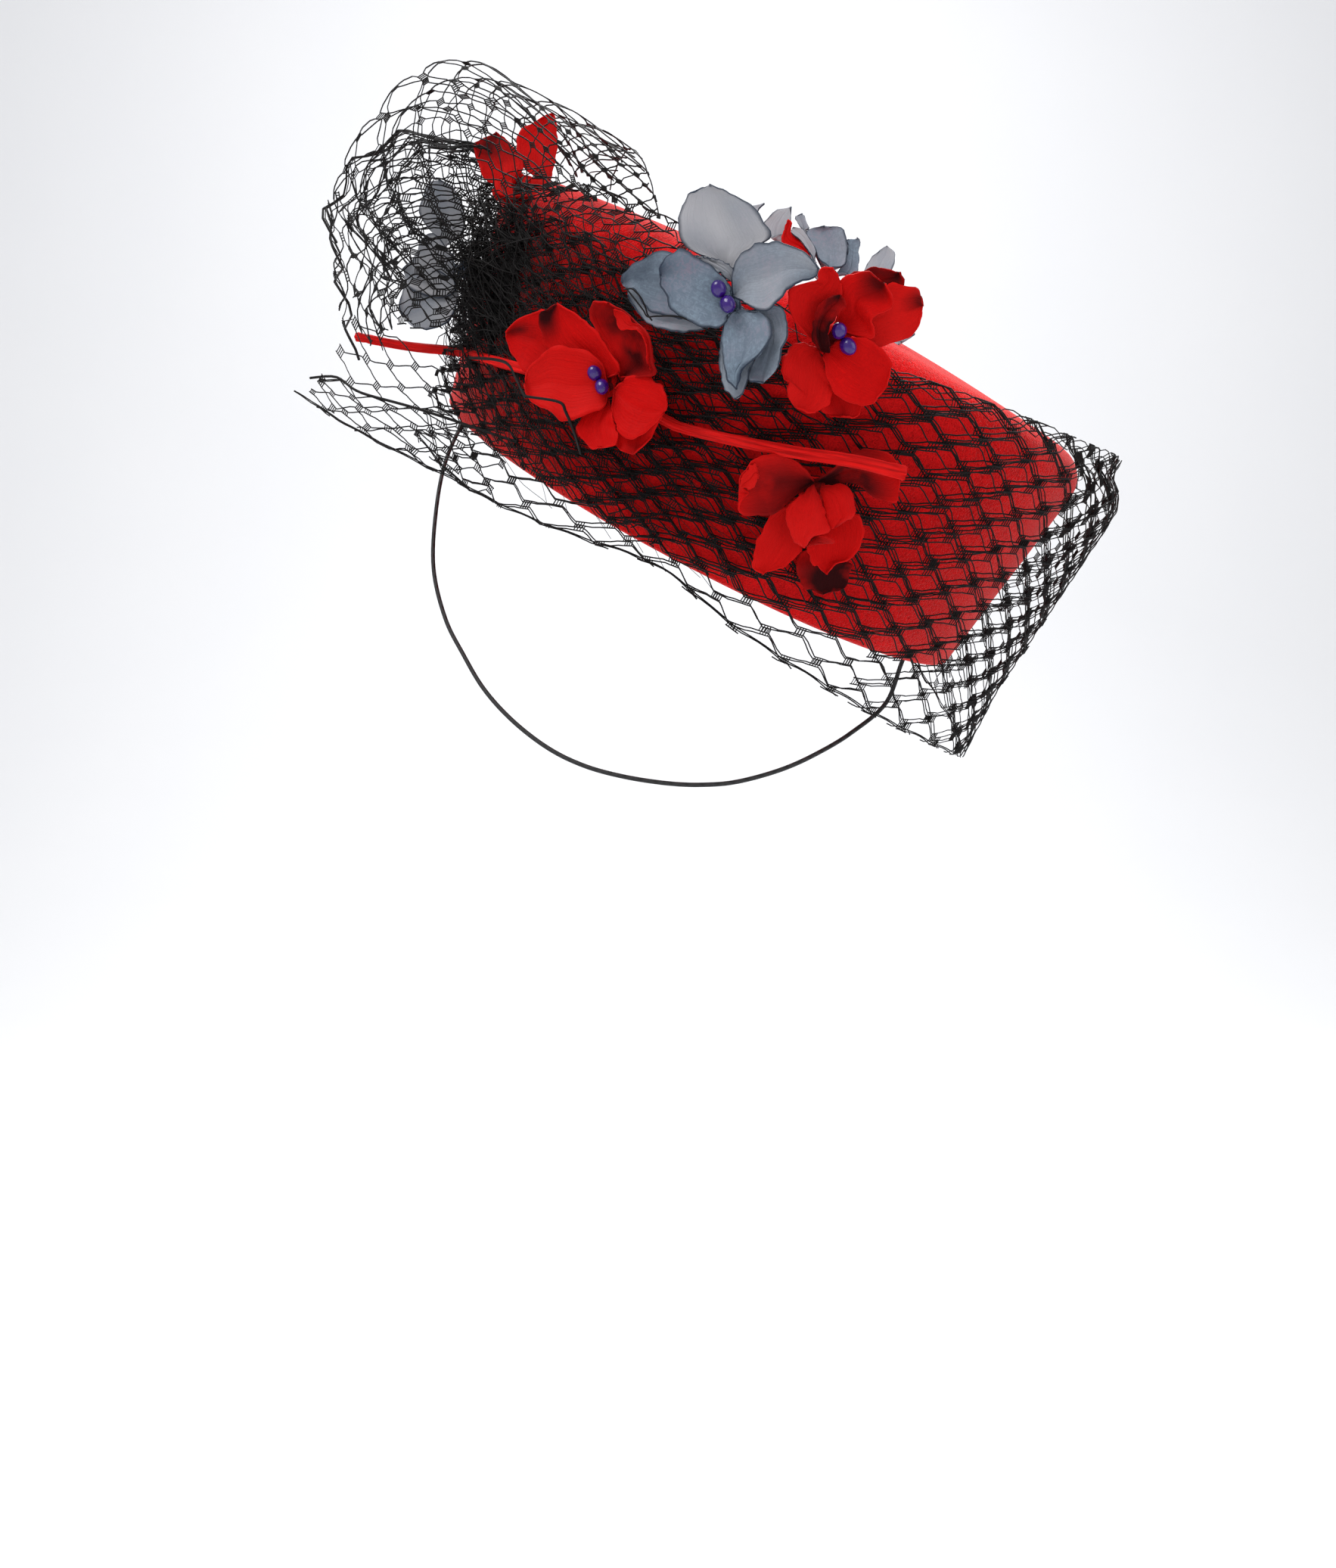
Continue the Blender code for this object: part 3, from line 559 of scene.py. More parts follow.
def between(rows, share):
    """The row at this share of the way through a table, smoothly read between its rows."""
    place = min(max(share, 0.0), 1.0) * (len(rows) - 1)
    first = min(int(place), len(rows) - 2)
    ends = [rows[min(max(first + step, 0), len(rows) - 1)] for step in (-1, 0, 1, 2)]
    t = place - first
    weights = (
        (-t + 2 * t**2 - t**3) / 2,
        (2 - 5 * t**2 + 3 * t**3) / 2,
        (t + 4 * t**2 - 3 * t**3) / 2,
        (-(t**2) + t**3) / 2,
    )
    return [
        sum(weight * row[column] for weight, row in zip(weights, ends))
        for column in range(len(rows[0]))
    ]


def sight(x, y):
    """The way from the camera to this pixel of the photo, one unit deep."""
    return Vector(((x - PHOTO_SIZE[0] / 2) / FOCAL, 1, (PHOTO_SIZE[1] / 2 - y) / FOCAL))


def tenths(point):
    return [round(value, 1) for value in point]


def seen_at(x, y, depth):
    """The point at this pixel and depth, in millimetres in the hat's own frame."""
    return tenths(TILT.inverted() @ (Vector(CAMERA_PLACE) * 1000 + sight(x, y) * depth))


# Materials


def material(name, **sockets):
    """A Principled material, its sockets set by name with _ for a space."""
    made = bpy.data.materials.new(name)
    made.use_nodes = True
    shader = made.node_tree.nodes["Principled BSDF"]
    for socket, value in sockets.items():
        shader.inputs[socket.replace("_", " ")].default_value = value
    return made


def node(made, kind, links=None, **settings):
    """A node of this kind. Settings name its properties, links its sockets' values or sources."""
    tree = made.node_tree
    new = tree.nodes.new(kind)
    for name, value in settings.items():
        setattr(new, name, value)
    for socket, value in (links or {}).items():
        if isinstance(value, bpy.types.NodeSocket):
            tree.links.new(value, new.inputs[socket])
        else:
            new.inputs[socket].default_value = value
    return new


def plug(made, source, socket):
    """Runs this output into the named socket of the material's shader."""
    shader = made.node_tree.nodes["Principled BSDF"]
    made.node_tree.links.new(source, shader.inputs[socket])


def coordinates(made, output="Object", scale=(1.0, 1.0, 1.0)):
    """Object or UV coordinates, stretched by this much each way."""
    source = node(made, "ShaderNodeTexCoord").outputs[output]
    return node(made, "ShaderNodeMapping", {"Vector": source, "Scale": scale}).outputs[0]


def speckle(made, vector, scale, detail, distortion=0.0):
    return node(
        made,
        "ShaderNodeTexNoise",
        {"Vector": vector, "Scale": scale, "Detail": detail, "Distortion": distortion},
    ).outputs["Fac"]


def ramp(made, value, low, high):
    """Stretches a value's range, from low to high, to 0 to 1."""
    return node(
        made, "ShaderNodeMapRange", {"Value": value, "From Min": low, "From Max": high}
    ).outputs[0]


def blend(made, share, first, second):
    """A colour this share of the way from the first to the second."""
    mixed = node(made, "ShaderNodeMix", {0: share, 6: first, 7: second}, data_type="RGBA")
    return mixed.outputs[2]


def bump(made, height, distance, strength=1.0):
    raised = node(
        made,
        "ShaderNodeBump",
        {"Height": height, "Distance": distance, "Strength": strength},
    )
    plug(made, raised.outputs[0], "Normal")


def felt_material():
    """Wool felt: short matted fibres, a little mottled, and paler where it is seen edge on."""
    made = material(
        "red_felt",
        Roughness=0.92,
        Specular_IOR_Level=0.08,
        Sheen_Weight=0.55,
        Sheen_Roughness=0.30,
        Sheen_Tint=(1.0, 0.48, 0.46, 1.0),
    )
    place = coordinates(made)
    mottle = ramp(made, speckle(made, place, 45.0, 3.0), 0.3, 0.7)
    fibres = speckle(made, place, 1500.0, 4.0, 1.5)
    colour = blend(made, mottle, (0.70, 0.0060, 0.0075, 1), (0.84, 0.0100, 0.0110, 1))
    shaded = blend(made, ramp(made, fibres, 0.25, 0.55), (0.40, 0.0040, 0.0050, 1), colour)
    plug(made, shaded, "Base Color")
    bump(made, fibres, 0.0005, 0.8)
    return made


def silk_material(name, cloth, deep, dark_dye_and_painted_shade, haze, rim, tint, flecks):
    """Pressed silk: fine veins from the claw; partly dyed dark and partly painted shade in the
    heart and in patches, some at the rims; painted light at the edges.
    """
    made = material(
        name, Roughness=0.60, Specular_IOR_Level=0.05, Sheen_Weight=0.01, Sheen_Roughness=0.4
    )
    along = coordinates(made, "UV", (2.5, 34.0, 1.0))
    veins = speckle(made, along, 1.0, 4.0, 0.6)
    blotches = coordinates(made)
    cloudy = speckle(made, blotches, 160.0, 3.0)
    dye_and_painted_light = node(made, "ShaderNodeAttribute", attribute_name="dye_and_painted_light").outputs["Color"]
    parts = node(made, "ShaderNodeSeparateColor", {"Color": dye_and_painted_light}).outputs
    colour = blend(made, ramp(made, veins, 0.22, 0.60), deep, cloth)
    tinted = blend(made, ramp(made, speckle(made, blotches, 110.0, 3.0), 0.42, 0.66), colour, tint)
    grain = ramp(made, speckle(made, blotches, 1300.0, 3.0, 0.8), 0.42, 0.62)
    flecked = blend(made, grain, flecks, tinted)
    hazed = blend(made, parts["Green"], flecked, haze)
    # The rim colour is painted light: dark painted shade at the blue petals' edges, a faint pinker
    # painted highlight at the red's.
    painted_edge_light = blend(made, parts["Blue"], hazed, rim)
    # The darkest colour is laid on by the attribute's red channel, in the heart and in patches:
    # partly silk dyed dark, partly painted shade.
    uneven = node(
        made, "ShaderNodeMath", {0: parts["Red"], 1: ramp(made, cloudy, 0.10, 0.50)},
        operation="MULTIPLY",
    )
    plug(made, blend(made, uneven.outputs[0], painted_edge_light, dark_dye_and_painted_shade), "Base Color")
    weave = speckle(made, blotches, 2600.0, 2.0)
    relief = node(
        made, "ShaderNodeMath", {0: weave, 1: 0.25, 2: veins}, operation="MULTIPLY_ADD"
    )
    bump(made, relief.outputs[0], 0.00022, 0.7)
    return made


def net_material():
    made = material("black_net", Roughness=0.55, Specular_IOR_Level=0.15)
    fuzz = speckle(made, coordinates(made), 700.0, 3.0)
    plug(made, blend(made, fuzz, (0.002, 0.002, 0.002, 1), (0.010, 0.008, 0.008, 1)), "Base Color")
    bump(made, speckle(made, coordinates(made), 4200.0, 1.0), 0.00008)
    return made


def bead_material():
    made = material(
        "violet_bead", Roughness=0.22, Specular_IOR_Level=0.4, Coat_Weight=0.25, Coat_Roughness=0.08
    )
    cloud = speckle(made, coordinates(made), 420.0, 2.0)
    plug(made, blend(made, cloud, (0.014, 0.002, 0.082, 1), (0.040, 0.006, 0.190, 1)), "Base Color")
    return made


def ribbon_material():
    made = material(
        "red_ribbon",
        Roughness=0.50,
        Specular_IOR_Level=0.07,
        Sheen_Weight=0.01,
        Sheen_Roughness=0.4,
    )
    threads = speckle(made, coordinates(made, "UV", (0.9, 15.0, 1.0)), 1.0, 5.0, 0.3)
    colour = blend(
        made, ramp(made, threads, 0.3, 0.6), (0.30, 0.002, 0.002, 1), (0.64, 0.006, 0.005, 1)
    )
    plug(made, colour, "Base Color")
    bump(made, threads, 0.0004, 0.8)
    return made


def elastic_material():
    """Round braid: two sets of slanting cords crossing each other."""
    made = material("black_elastic", Roughness=0.58, Specular_IOR_Level=0.3)
    place = coordinates(made, "UV")
    set_by = {"wave_type": "BANDS", "bands_direction": "DIAGONAL"}
    one = node(made, "ShaderNodeTexWave", {"Vector": place, "Scale": 1.6}, **set_by).outputs["Fac"]
    turned = coordinates(made, "UV", (1.0, -1.0, 1.0))
    two = node(made, "ShaderNodeTexWave", {"Vector": turned, "Scale": 1.6}, **set_by).outputs["Fac"]
    braid = node(made, "ShaderNodeMath", {0: one, 1: two}, operation="MAXIMUM").outputs[0]
    plug(made, blend(made, braid, (0.004, 0.004, 0.004, 1), (0.020, 0.020, 0.021, 1)), "Base Color")
    bump(made, braid, 0.00012)
    return made


def paper_material():
    made = material("pale_backdrop", Roughness=0.95, Specular_IOR_Level=0.1)
    grain = speckle(made, coordinates(made), 3.0, 2.0)
    plug(made, blend(made, grain, (0.90, 0.905, 0.915, 1), (0.93, 0.932, 0.935, 1)), "Base Color")
    return made


# Making pieces


def dress(obj, cloth, slot, *nodes):
    """Gives a finished piece its material and its body, and hides the nodes it stands for; the slot
    is not used.
    """
    obj.data.materials.append(cloth)
    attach(obj, "root")
    if nodes:
        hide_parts(*nodes)
    return obj


def add_object(name, data):
    obj = bpy.data.objects.new(name, data)
    bpy.context.collection.objects.link(obj)
    return obj


def add_piece(name, bm, matrix=TILT):
    bmesh.ops.transform(bm, matrix=matrix, verts=bm.verts)
    mesh = bpy.data.meshes.new(name)
    bm.to_mesh(mesh)
    bm.free()
    mesh.shade_smooth()
    return add_object(name, mesh)


def sweep(bm, points, section, sides):
    """Sweeps a closed outline along points. section(share, turn) gives its two offsets there."""
    uv = bm.loops.layers.uv.verify()
    placed = {}
    edges = []
    across = None
    run = 0.0
    for step, point in enumerate(points):
        after = points[min(step + 1, len(points) - 1)]
        before = points[max(step - 1, 0)]
        heading = (after - before).normalized()
        if across is None:
            across = heading.orthogonal().normalized()
        across = (across - heading * across.dot(heading)).normalized()
        over = heading.cross(across)
        run += (point - before).length
        if not edges:
            ring = bmesh.ops.create_circle(bm, segments=sides, radius=1.0)["verts"]
            edges = list({edge for vert in ring for edge in vert.link_edges})
            turns = {vert: math.atan2(vert.co.y, vert.co.x) for vert in ring}
            first_ring = list(edges)
        else:
            made = bmesh.ops.extrude_edge_only(bm, edges=edges)["geom"]
            ring = [part for part in made if isinstance(part, bmesh.types.BMVert)]
            edges = [part for part in made if isinstance(part, bmesh.types.BMEdge)]
            new_turns = {}
            for vert in ring:
                old = next(
                    edge.other_vert(vert) for edge in vert.link_edges
                    if edge.other_vert(vert) in turns
                )
                new_turns[vert] = turns[old]
            turns = new_turns
        share = step / (len(points) - 1)
        for vert in ring:
            side, rise = section(share, turns[vert])
            vert.co = point + across * side + over * rise
            placed[vert] = (run, turns[vert] / (2 * math.pi) + 0.5)
    faces = [face for face in bm.faces if all(vert in placed for vert in face.verts)]
    for face in faces:
        rounds = [placed[loop.vert][1] for loop in face.loops]
        wraps = max(rounds) - min(rounds) > 0.5
        for loop in face.loops:
            length, turn = placed[loop.vert]
            if wraps and turn < 0.5:
                turn += 1.0
            loop[uv].uv = (length / 0.01, turn)
    for ring_edges in (first_ring, edges):
        bmesh.ops.contextual_create(bm, geom=ring_edges)
    bmesh.ops.recalc_face_normals(bm, faces=bm.faces)


def extrude_ring(bm, edges, inset, height, share=1.0):
    """Extrudes a ring to the oval that lies this far inside the crown's largest one."""
    made = bmesh.ops.extrude_edge_only(bm, edges=edges)["geom"]
    for vert in (part for part in made if isinstance(part, bmesh.types.BMVert)):
        angle = math.atan2(vert.co.y, vert.co.x)
        radius = (wall_radius(angle, STRAIGHT_WALL) - inset) * share
        vert.co = (radius * math.cos(angle), radius * math.sin(angle), height)
    return [part for part in made if isinstance(part, bmesh.types.BMEdge)]


def crown_side(bm, edges, inward):
    """One face of the felt from just over the rim to the middle of the dome."""
    radius = EDGE_RADIUS - inward
    for step in range(1, 9):
        level = STRAIGHT_WALL * step / 8
        edges = extrude_ring(bm, edges, inward + RIM_INSET * (1 - step / 8), level)
    for step in range(1, 9):
        bend = math.pi / 2 * step / 8
        inset = inward + radius * (1 - math.cos(bend))
        edges = extrude_ring(bm, edges, inset, STRAIGHT_WALL + radius * math.sin(bend))
    top = STRAIGHT_WALL + radius
    for step in range(1, 17):
        share = 1 - step / 16
        height = top + CROWN_DOME * (1 - share**2)
        edges = extrude_ring(bm, edges, EDGE_RADIUS, height, max(share, 0.02))
    middle = {vert for edge in edges for vert in edge.verts}
    bmesh.ops.pointmerge(bm, verts=list(middle), merge_co=(0, 0, top + CROWN_DOME))


def crown_felt():
    """The hat itself: felt with a soft cut rim, and slightly uneven from hand blocking."""
    bm = bmesh.new()
    circle = bmesh.ops.create_circle(bm, segments=192, radius=1.0)
    for vert in circle["verts"]:
        angle = math.atan2(vert.co.y, vert.co.x)
        vert.co = on_crown(angle, 0.0, -RIM_ROUND)
    rim = list(bm.edges)
    outer = extrude_ring(bm, rim, RIM_INSET, RIM_ROUND)
    crown_side(bm, outer, 0.0)
    inner = extrude_ring(bm, rim, RIM_INSET + FELT - RIM_ROUND, 0.0)
    inner = extrude_ring(bm, inner, RIM_INSET + FELT, RIM_ROUND)
    crown_side(bm, inner, FELT)
    bmesh.ops.recalc_face_normals(bm, faces=bm.faces)
    bm.normal_update()
    for vert in bm.verts:
        wave = sum(noise.noise(vert.co / apart) * depth for apart, depth in UNEVEN)
        vert.co += Vector((vert.co.x, vert.co.y, 0)).normalized() * wave
    return add_piece("crown_felt", bm)


# Netting


def new_netting(name):
    curve = bpy.data.curves.new(name, "CURVE")
    curve.dimensions = "3D"
    curve.bevel_depth = STRAND_RADIUS
    curve.bevel_resolution = 0
    return curve


def add_strand(curve, points, share=1.0):
    if len(points) < 2:
        return
    spline = curve.splines.new("POLY")
    spline.points.add(len(points) - 1)
    flat = [value for point in points for value in (*point, 1.0)]
    spline.points.foreach_set("co", flat)
    spline.points.foreach_set("radius", [share] * len(points))


def net_piece(curve):
    """The strands as one mesh of fine tubes, tilted with the hat."""
    name = curve.name
    maker = add_object(name + "_maker", curve)
    graph = bpy.context.evaluated_depsgraph_get()
    mesh = bpy.data.meshes.new_from_object(maker.evaluated_get(graph))
    mesh.name = name
    bpy.data.objects.remove(maker)
    bpy.data.curves.remove(curve)
    mesh.transform(TILT)
    mesh.shade_smooth()
    mesh.materials.clear()
    return add_object(name, mesh)


def round_crown(rows, lift=0.0):
    """Places a net sheet by a table of sections round the crown."""

    def place(share, rise):
        angle, bottom, bottom_off, top, top_off = between(rows, share)
        height = (bottom + (top - bottom) * rise) * CROWN_HEIGHT
        off = (bottom_off + (top_off - bottom_off) * rise) * POUF_REACH
        return on_crown(math.radians(angle), height, max(off, NET_CLEAR) + lift)

    return place


def on_pouf(swell=1.0):
    """Places the pouf's sheet: over its fold, from its near edge to its far one."""

    def place(round_it, rise):
        row = between(POUF_SECTIONS, rise)
        near_angle, near_height, fold_x, fold_y, fold_height, far_angle, far_height, far_off = row
        near = on_felt(near_angle, near_height, 0.7 * GATHER_DEPTH)
        far = on_felt(far_angle, far_height, far_off * EDGE_RADIUS)
        reach = CROWN_LENGTH / 2 + POUF_REACH
        fold = Vector((fold_x * reach, fold_y * reach, fold_height * CROWN_HEIGHT))
        middle = (near + far) / 2
        hold = middle + (fold - middle) * 2 * swell
        left = 1 - round_it
        return near * left**2 + hold * 2 * left * round_it + far * round_it**2

    return place


def paced(place, rise=0.5, steps=160):
    """A sheet's length along this line, and the sheet placed by length in place of share."""
    spots = [place(step / steps, rise) for step in range(steps + 1)]
    run = [0.0]
    for here, there in zip(spots, spots[1:]):
        run.append(run[-1] + (there - here).length)

    def by_length(along, across):
        first = min(max(bisect.bisect_right(run, along) - 1, 0), steps - 1)
        part = (along - run[first]) / (run[first + 1] - run[first])
        return place((first + part) / steps, across)

    return run[-1], by_length


def lay_net(curve, place, width, offset=(0.0, 0.0), seed=0, pitch=PITCH, row=ROW, slant=0.0,
            wander=0.0008, hems=(), trim=0.0):
    """Nets a sheet this wide. Offset shifts its lattice, slant turns it, in degrees, and wander
    sways it. Each hem is a cord along the sheet: where it runs, as a share of the width, the
    depth of its scallops, its thickness and how far along it goes. Trim is how far along nothing
    hangs below the rim. A net that isn't slanted is cut through its knots."""
    length, by_length = paced(place)
    turn = Matrix.Rotation(math.radians(slant), 2)
    draw = random.Random(seed)
    shift = Vector(offset)
    half_gap = RAIL_GAP / 2
    rows = round(width / row)
    lean = abs(math.sin(math.radians(slant)))
    spare = math.ceil(lean * length / row)
    first = -2 - 2 * math.ceil(lean * width / pitch)
    last = math.floor((length - offset[0] - RAIL) / (pitch / 2)) * pitch / 2 + RAIL / 2 + 1e-6

    def spot(x, y):
        """The point on the sheet for this place in the net, or None off the sheet."""
        if not slant and not -RAIL / 2 - 1e-6 <= x <= last:
            return None
        u, v = turn @ Vector((x, y)) + shift
        shared = noise.noise_vector(Vector((u / SWAY_APART, v / SWAY_APART, 0.3)))
        own = noise.noise_vector(
            Vector((u / OWN_SWAY_APART, v / OWN_SWAY_APART, 1.7 * seed + 5))
        )
        u += shared.x * SWAY_ALONG + own.x * wander * 2
        v += shared.y * SWAY_UP + own.y * wander
        if not slant:
            u = min(max(u, 0.0), length)
        if not 0.0 <= u <= length or not -0.001 <= v <= width + 0.001:
            return None
        point = by_length(u, min(max(v / width, 0.0), 1.0))
        return None if u < trim and point.z < 0.001 else point

    reach = math.ceil((length + spare * row) / pitch) + 1
    for level in range(-spare - 1, rows + spare + 1):
        strand = []
        for half in range(first, 2 * reach + 2):
            x = (half + level % 2) * pitch / 2
            low = half % 2 == 0
            y = (level if low else level + 1) * row + (half_gap if low else -half_gap)
            stretch = (row - RAIL_GAP) * (1 if low else -1)
            run = pitch / 2 - RAIL
            tilt = KNOT_LEAN * RAIL / 2
            bow = draw.uniform(-0.10, 0.10)
            stops = [(x - RAIL / 2, y - tilt), (x + RAIL / 2, y + tilt)]
            for part in (0.3, 0.7):
                eased = part + (part * part * (3 - 2 * part) - part) * 0.5
                bent = eased + bow * math.sin(math.pi * part)
                level_there = y + tilt * (1 - 2 * part) + stretch * bent
                stops.append((x + RAIL / 2 + run * part, level_there))
            for stop in stops:
                point = spot(*stop)
                if point is None:
                    add_strand(curve, strand)
                    strand = []
                else:
                    strand.append(point)
            if low:
                for rung in range(RUNGS):
                    side = (rung + 0.5) / RUNGS - 0.5
                    at = x + RAIL * side
                    middle = level * row + 2 * tilt * side
                    ends = [spot(at, middle - half_gap), spot(at, middle + half_gap)]
                    if None not in ends:
                        add_strand(curve, ends, RUNG_SHARE)
        add_strand(curve, strand)
    for at, depth, weight, far in hems:
        steps = round(length * far / HEM_STEP)
        line = []
        for step in range(steps + 1):
            wave = depth * abs(math.sin((step * HEM_STEP + offset[0]) / pitch * math.pi))
            wave += 0.0004 * noise.noise(Vector((step * 0.12, depth * 900, seed)))
            line.append(by_length(length * far * step / steps, at + wave / width))
        add_strand(curve, line, weight)


def on_lobe(reach=1.0, swell=0.008, rows=LOBE_SECTIONS):
    """Places the lobe's sheet: round it from the top, and from the gather outwards."""

    spots = [(*seen_at(*row[:3]), *seen_at(*row[3:])) for row in rows]

    def place(share, rise):
        row = between(spots, share)
        inner = Vector(row[:3]) / 1000
        outer = inner + (Vector(row[3:]) / 1000 - inner) * reach
        bulge = math.sin(math.pi * min(rise, 1.0)) * swell
        ripple = 0.0016 * math.sin(share * 21 + 3 * rise) * rise
        away = Vector((-0.45, -0.85, 0.1)).normalized()
        return inner.lerp(outer, rise) + away * (bulge + ripple)

    return place


def outwards(place):
    """The same sheet with its net run from the gather outwards."""
    return lambda share, rise: place(rise, share)


def net_sheet(curve, node_name, cloth):
    """A netting piece: its strands made into one mesh, dressed in the net's material, in place of
    its node."""
    obj = dress(net_piece(curve), cloth, "black_net", node_name)


def veil():
    cloth = net_material()
    low = ((0.0, 0.0007, 1.0, 1.0), (0.008, 0.0004, 1.0, 1.0))
    top = ((0.97, 0.0022, 0.8, 1.0), (0.955, 0.0018, 0.8, 1.0))
    band = new_netting("net_band")
    lay_net(band, round_crown(BAND_SECTIONS), NET_WIDTH, hems=low + top)
    lay_net(band, round_crown(BAND_SECTIONS, 0.0012), NET_WIDTH, (0.0012, 0.0006), 1)
    net_sheet(band, "veil_band", cloth)

    front = new_netting("net_front")
    lay_net(front, round_crown(BAND_SECTIONS[:11], 0.0006), NET_WIDTH, (-0.0011, 0.0010), 2,
            trim=0.150)
    lay_net(front, round_crown(BAND_SECTIONS[:10], 0.0018), NET_WIDTH, (0.0006, -0.0012), 3,
            wander=0.0014, trim=0.190)
    lay_net(front, round_crown(BAND_SECTIONS[:10], 0.0010), NET_WIDTH, (0.0020, 0.0004), 16,
            wander=0.0010, trim=0.210)
    net_sheet(front, "veil_band", cloth)

    drawn = new_netting("net_drawn")
    lay_net(drawn, round_crown(DRAWN_SECTIONS, 0.0012), 0.068, (0.004, 0.002), 5, slant=-9,
            trim=0.200)
    lay_net(drawn, round_crown(DRAWN_SECTIONS[:5], 0.0006), 0.064, (0.001, 0.002), 6,
            pitch=0.0105, row=0.0034, slant=14, wander=0.0024, trim=0.200)
    lay_net(drawn, round_crown(DRAWN_SECTIONS[:4], 0.0022), 0.060, (0.002, 0.001), 14,
            pitch=0.0115, row=0.0038, slant=-22, wander=0.0030, trim=0.200)
    net_sheet(drawn, "veil_band", cloth)

    fan = new_netting("net_fan")
    wide = ((0.0, 0.0006, 1.0, 1.0), (0.04, 0.0004, 1.0, 1.0), (1.0, 0.0, SELVEDGE_SHARE, 1.0))
    lay_net(fan, round_crown(FAN_SECTIONS), 0.026, (0.0, 0.001), 7, wander=0.0016)
    lay_net(fan, round_crown(FOLD_SECTIONS, 0.0015), 0.017, (0.004, 0.002), 8, wander=0.0016,
            hems=wide)
    net_sheet(fan, "veil_fan", cloth)

    pouf = new_netting("net_pouf")
    edge = ((1.0, 0.0006, SELVEDGE_SHARE, 0.95), (0.985, 0.0004, 1.0, 0.9))
    lay_net(pouf, on_pouf(), 0.120, (0.0, 0.0), 9, pitch=0.0155, row=0.0066, wander=0.0022,
            hems=((0.0, 0.0008, 1.0, 1.0), (0.99, 0.0008, 1.0, 1.0)))
    lay_net(pouf, on_pouf(0.87), 0.110, (0.003, 0.001), 10, pitch=0.0155, row=0.0066,
            wander=0.0022)
    lay_net(pouf, on_lobe(rows=LOBE_SECTIONS[:10]), 0.050, (0.0, 0.0), 11, pitch=0.0125,
            row=0.0052, wander=0.0014, hems=edge)
    lay_net(pouf, outwards(on_lobe(0.94, 0.011)), 0.062, (0.0, 0.001), 12, pitch=0.0125,
            row=0.0046, wander=0.0014)
    lay_net(pouf, outwards(on_lobe(0.80, 0.013)), 0.056, (0.0, 0.002), 13, pitch=0.0115,
            row=0.0044, wander=0.0016)
    lay_net(pouf, outwards(on_lobe(0.64, 0.014)), 0.052, (0.0, 0.001), 15, pitch=0.0105,
            row=0.0042, wander=0.0018)
    lay_net(pouf, on_lobe(1.0, 0.019, LOBE_SECTIONS[7:]), 0.050, (0.003, 0.001), 17, pitch=0.0125,
            row=0.0050, wander=0.0016, hems=((1.0, 0.0010, SELVEDGE_SHARE, 1.0),))
    net_sheet(pouf, "veil_pouf", cloth)

    dress(gather_core(), cloth, "black_net", "veil_gather")
    threads = new_netting("net_threads")
    gather_threads(threads)
    loose_threads(threads)
    for name, thickness, picked in STRAY_THREADS:
        heights = [over_heart(name, *spot) / 1000 for spot in picked]
        points = [tenths(flower_frame(name) @ spot * 1000) for spot in heights]
        count = 8 * (len(points) - 1)
        line = [Vector(between(points, step / count)) / 1000 for step in range(count + 1)]
        add_strand(threads, line, thickness)
    dress(net_piece(threads), cloth, "black_net", "veil_gather")


def gather_core():
    """Where the veil is drawn together and sewn down: a tight ridge of net with pleats."""
    bm = bmesh.new()
    bmesh.ops.create_uvsphere(bm, u_segments=96, v_segments=48, radius=1.0)
    angle = math.radians(GATHER_ANGLE)
    for vert in bm.verts:
        round_it = math.atan2(vert.co.y, vert.co.x)
        pleat = 0.84 + 0.12 * math.cos(9 * round_it + 2 * vert.co.z)
        pleat += 0.06 * noise.noise(Vector((round_it * 3, vert.co.z * 2, 0.5)))
        side = vert.co.x * pleat * GATHER_WIDTH * 0.4
        up = GATHER_PLACE * CROWN_HEIGHT + vert.co.z * GATHER_HEIGHT / 2
        out = 0.0003 + GATHER_DEPTH * 0.3 * (1 + vert.co.y * pleat)
        wall = wall_radius(angle, up)
        vert.co = on_crown(angle - side / wall, up, out)
    return add_piece("gather_core", bm)


def gather_threads(curve):
    """Strands drawn up in the gather, looping out of it and back."""
    draw = random.Random(11)
    for _ in range(DRAWN_LOOPS):
        at = draw.triangular(-1, 1, 0)
        height = (GATHER_PLACE - 0.02 + at * 0.34) * CROWN_HEIGHT
        middle = GATHER_ANGLE + 1 - draw.uniform(0, 20)
        wide = draw.uniform(3, 10)
        loop = []
        lean = draw.uniform(-0.012, 0.012)
        out = draw.uniform(0.0015, 0.011) * (1 - 0.4 * at * at)
        for step in range(9):
            turn = math.pi * step / 8
            angle = middle + wide * math.cos(turn)
            off = 0.0015 + out * math.sin(turn)
            up = height + lean * math.cos(turn) + draw.uniform(-0.0006, 0.0006)
            loop.append(on_crown(math.radians(angle), up, off))
        add_strand(curve, loop, 0.8)


def loose_threads(curve):
    """Long thin ends of net that run from the gather over the front of the crown."""
    draw = random.Random(12)
    for _ in range(LOOSE_ENDS):
        start = draw.uniform(-0.25, 0.25) + GATHER_PLACE
        end = draw.uniform(-0.05, 0.85)
        far = draw.uniform(-122, -72)
        bow = draw.uniform(-0.12, 0.12)
        off = draw.uniform(0.0028, 0.0055)
        line = []
        for step in range(15):
            t = step / 14
            angle = GATHER_ANGLE - 4 + (far - GATHER_ANGLE + 4) * t
            share = start + (end - start) * t + bow * math.sin(math.pi * t)
            share += 0.012 * noise.noise(Vector((t * 7, bow * 50, start * 20)))
            line.append(on_felt(angle, share, off))
        add_strand(curve, line, THREAD_SHARE)


# Flowers


def flower_frame(name):
    """A flower's own frame in the hat's: X to the wearer's left, Y up the crown, Z outwards."""
    angle, height, stand_off, face_up, face_round = FLOWERS[name][2:]
    base = on_felt(angle, height, stand_off)
    turn = (
        Matrix.Rotation(math.radians(angle + 90 + face_round), 4, "Z")
        @ Matrix.Rotation(math.radians(90 - face_up), 4, "X")
    )
    return Matrix.Translation(base) @ turn


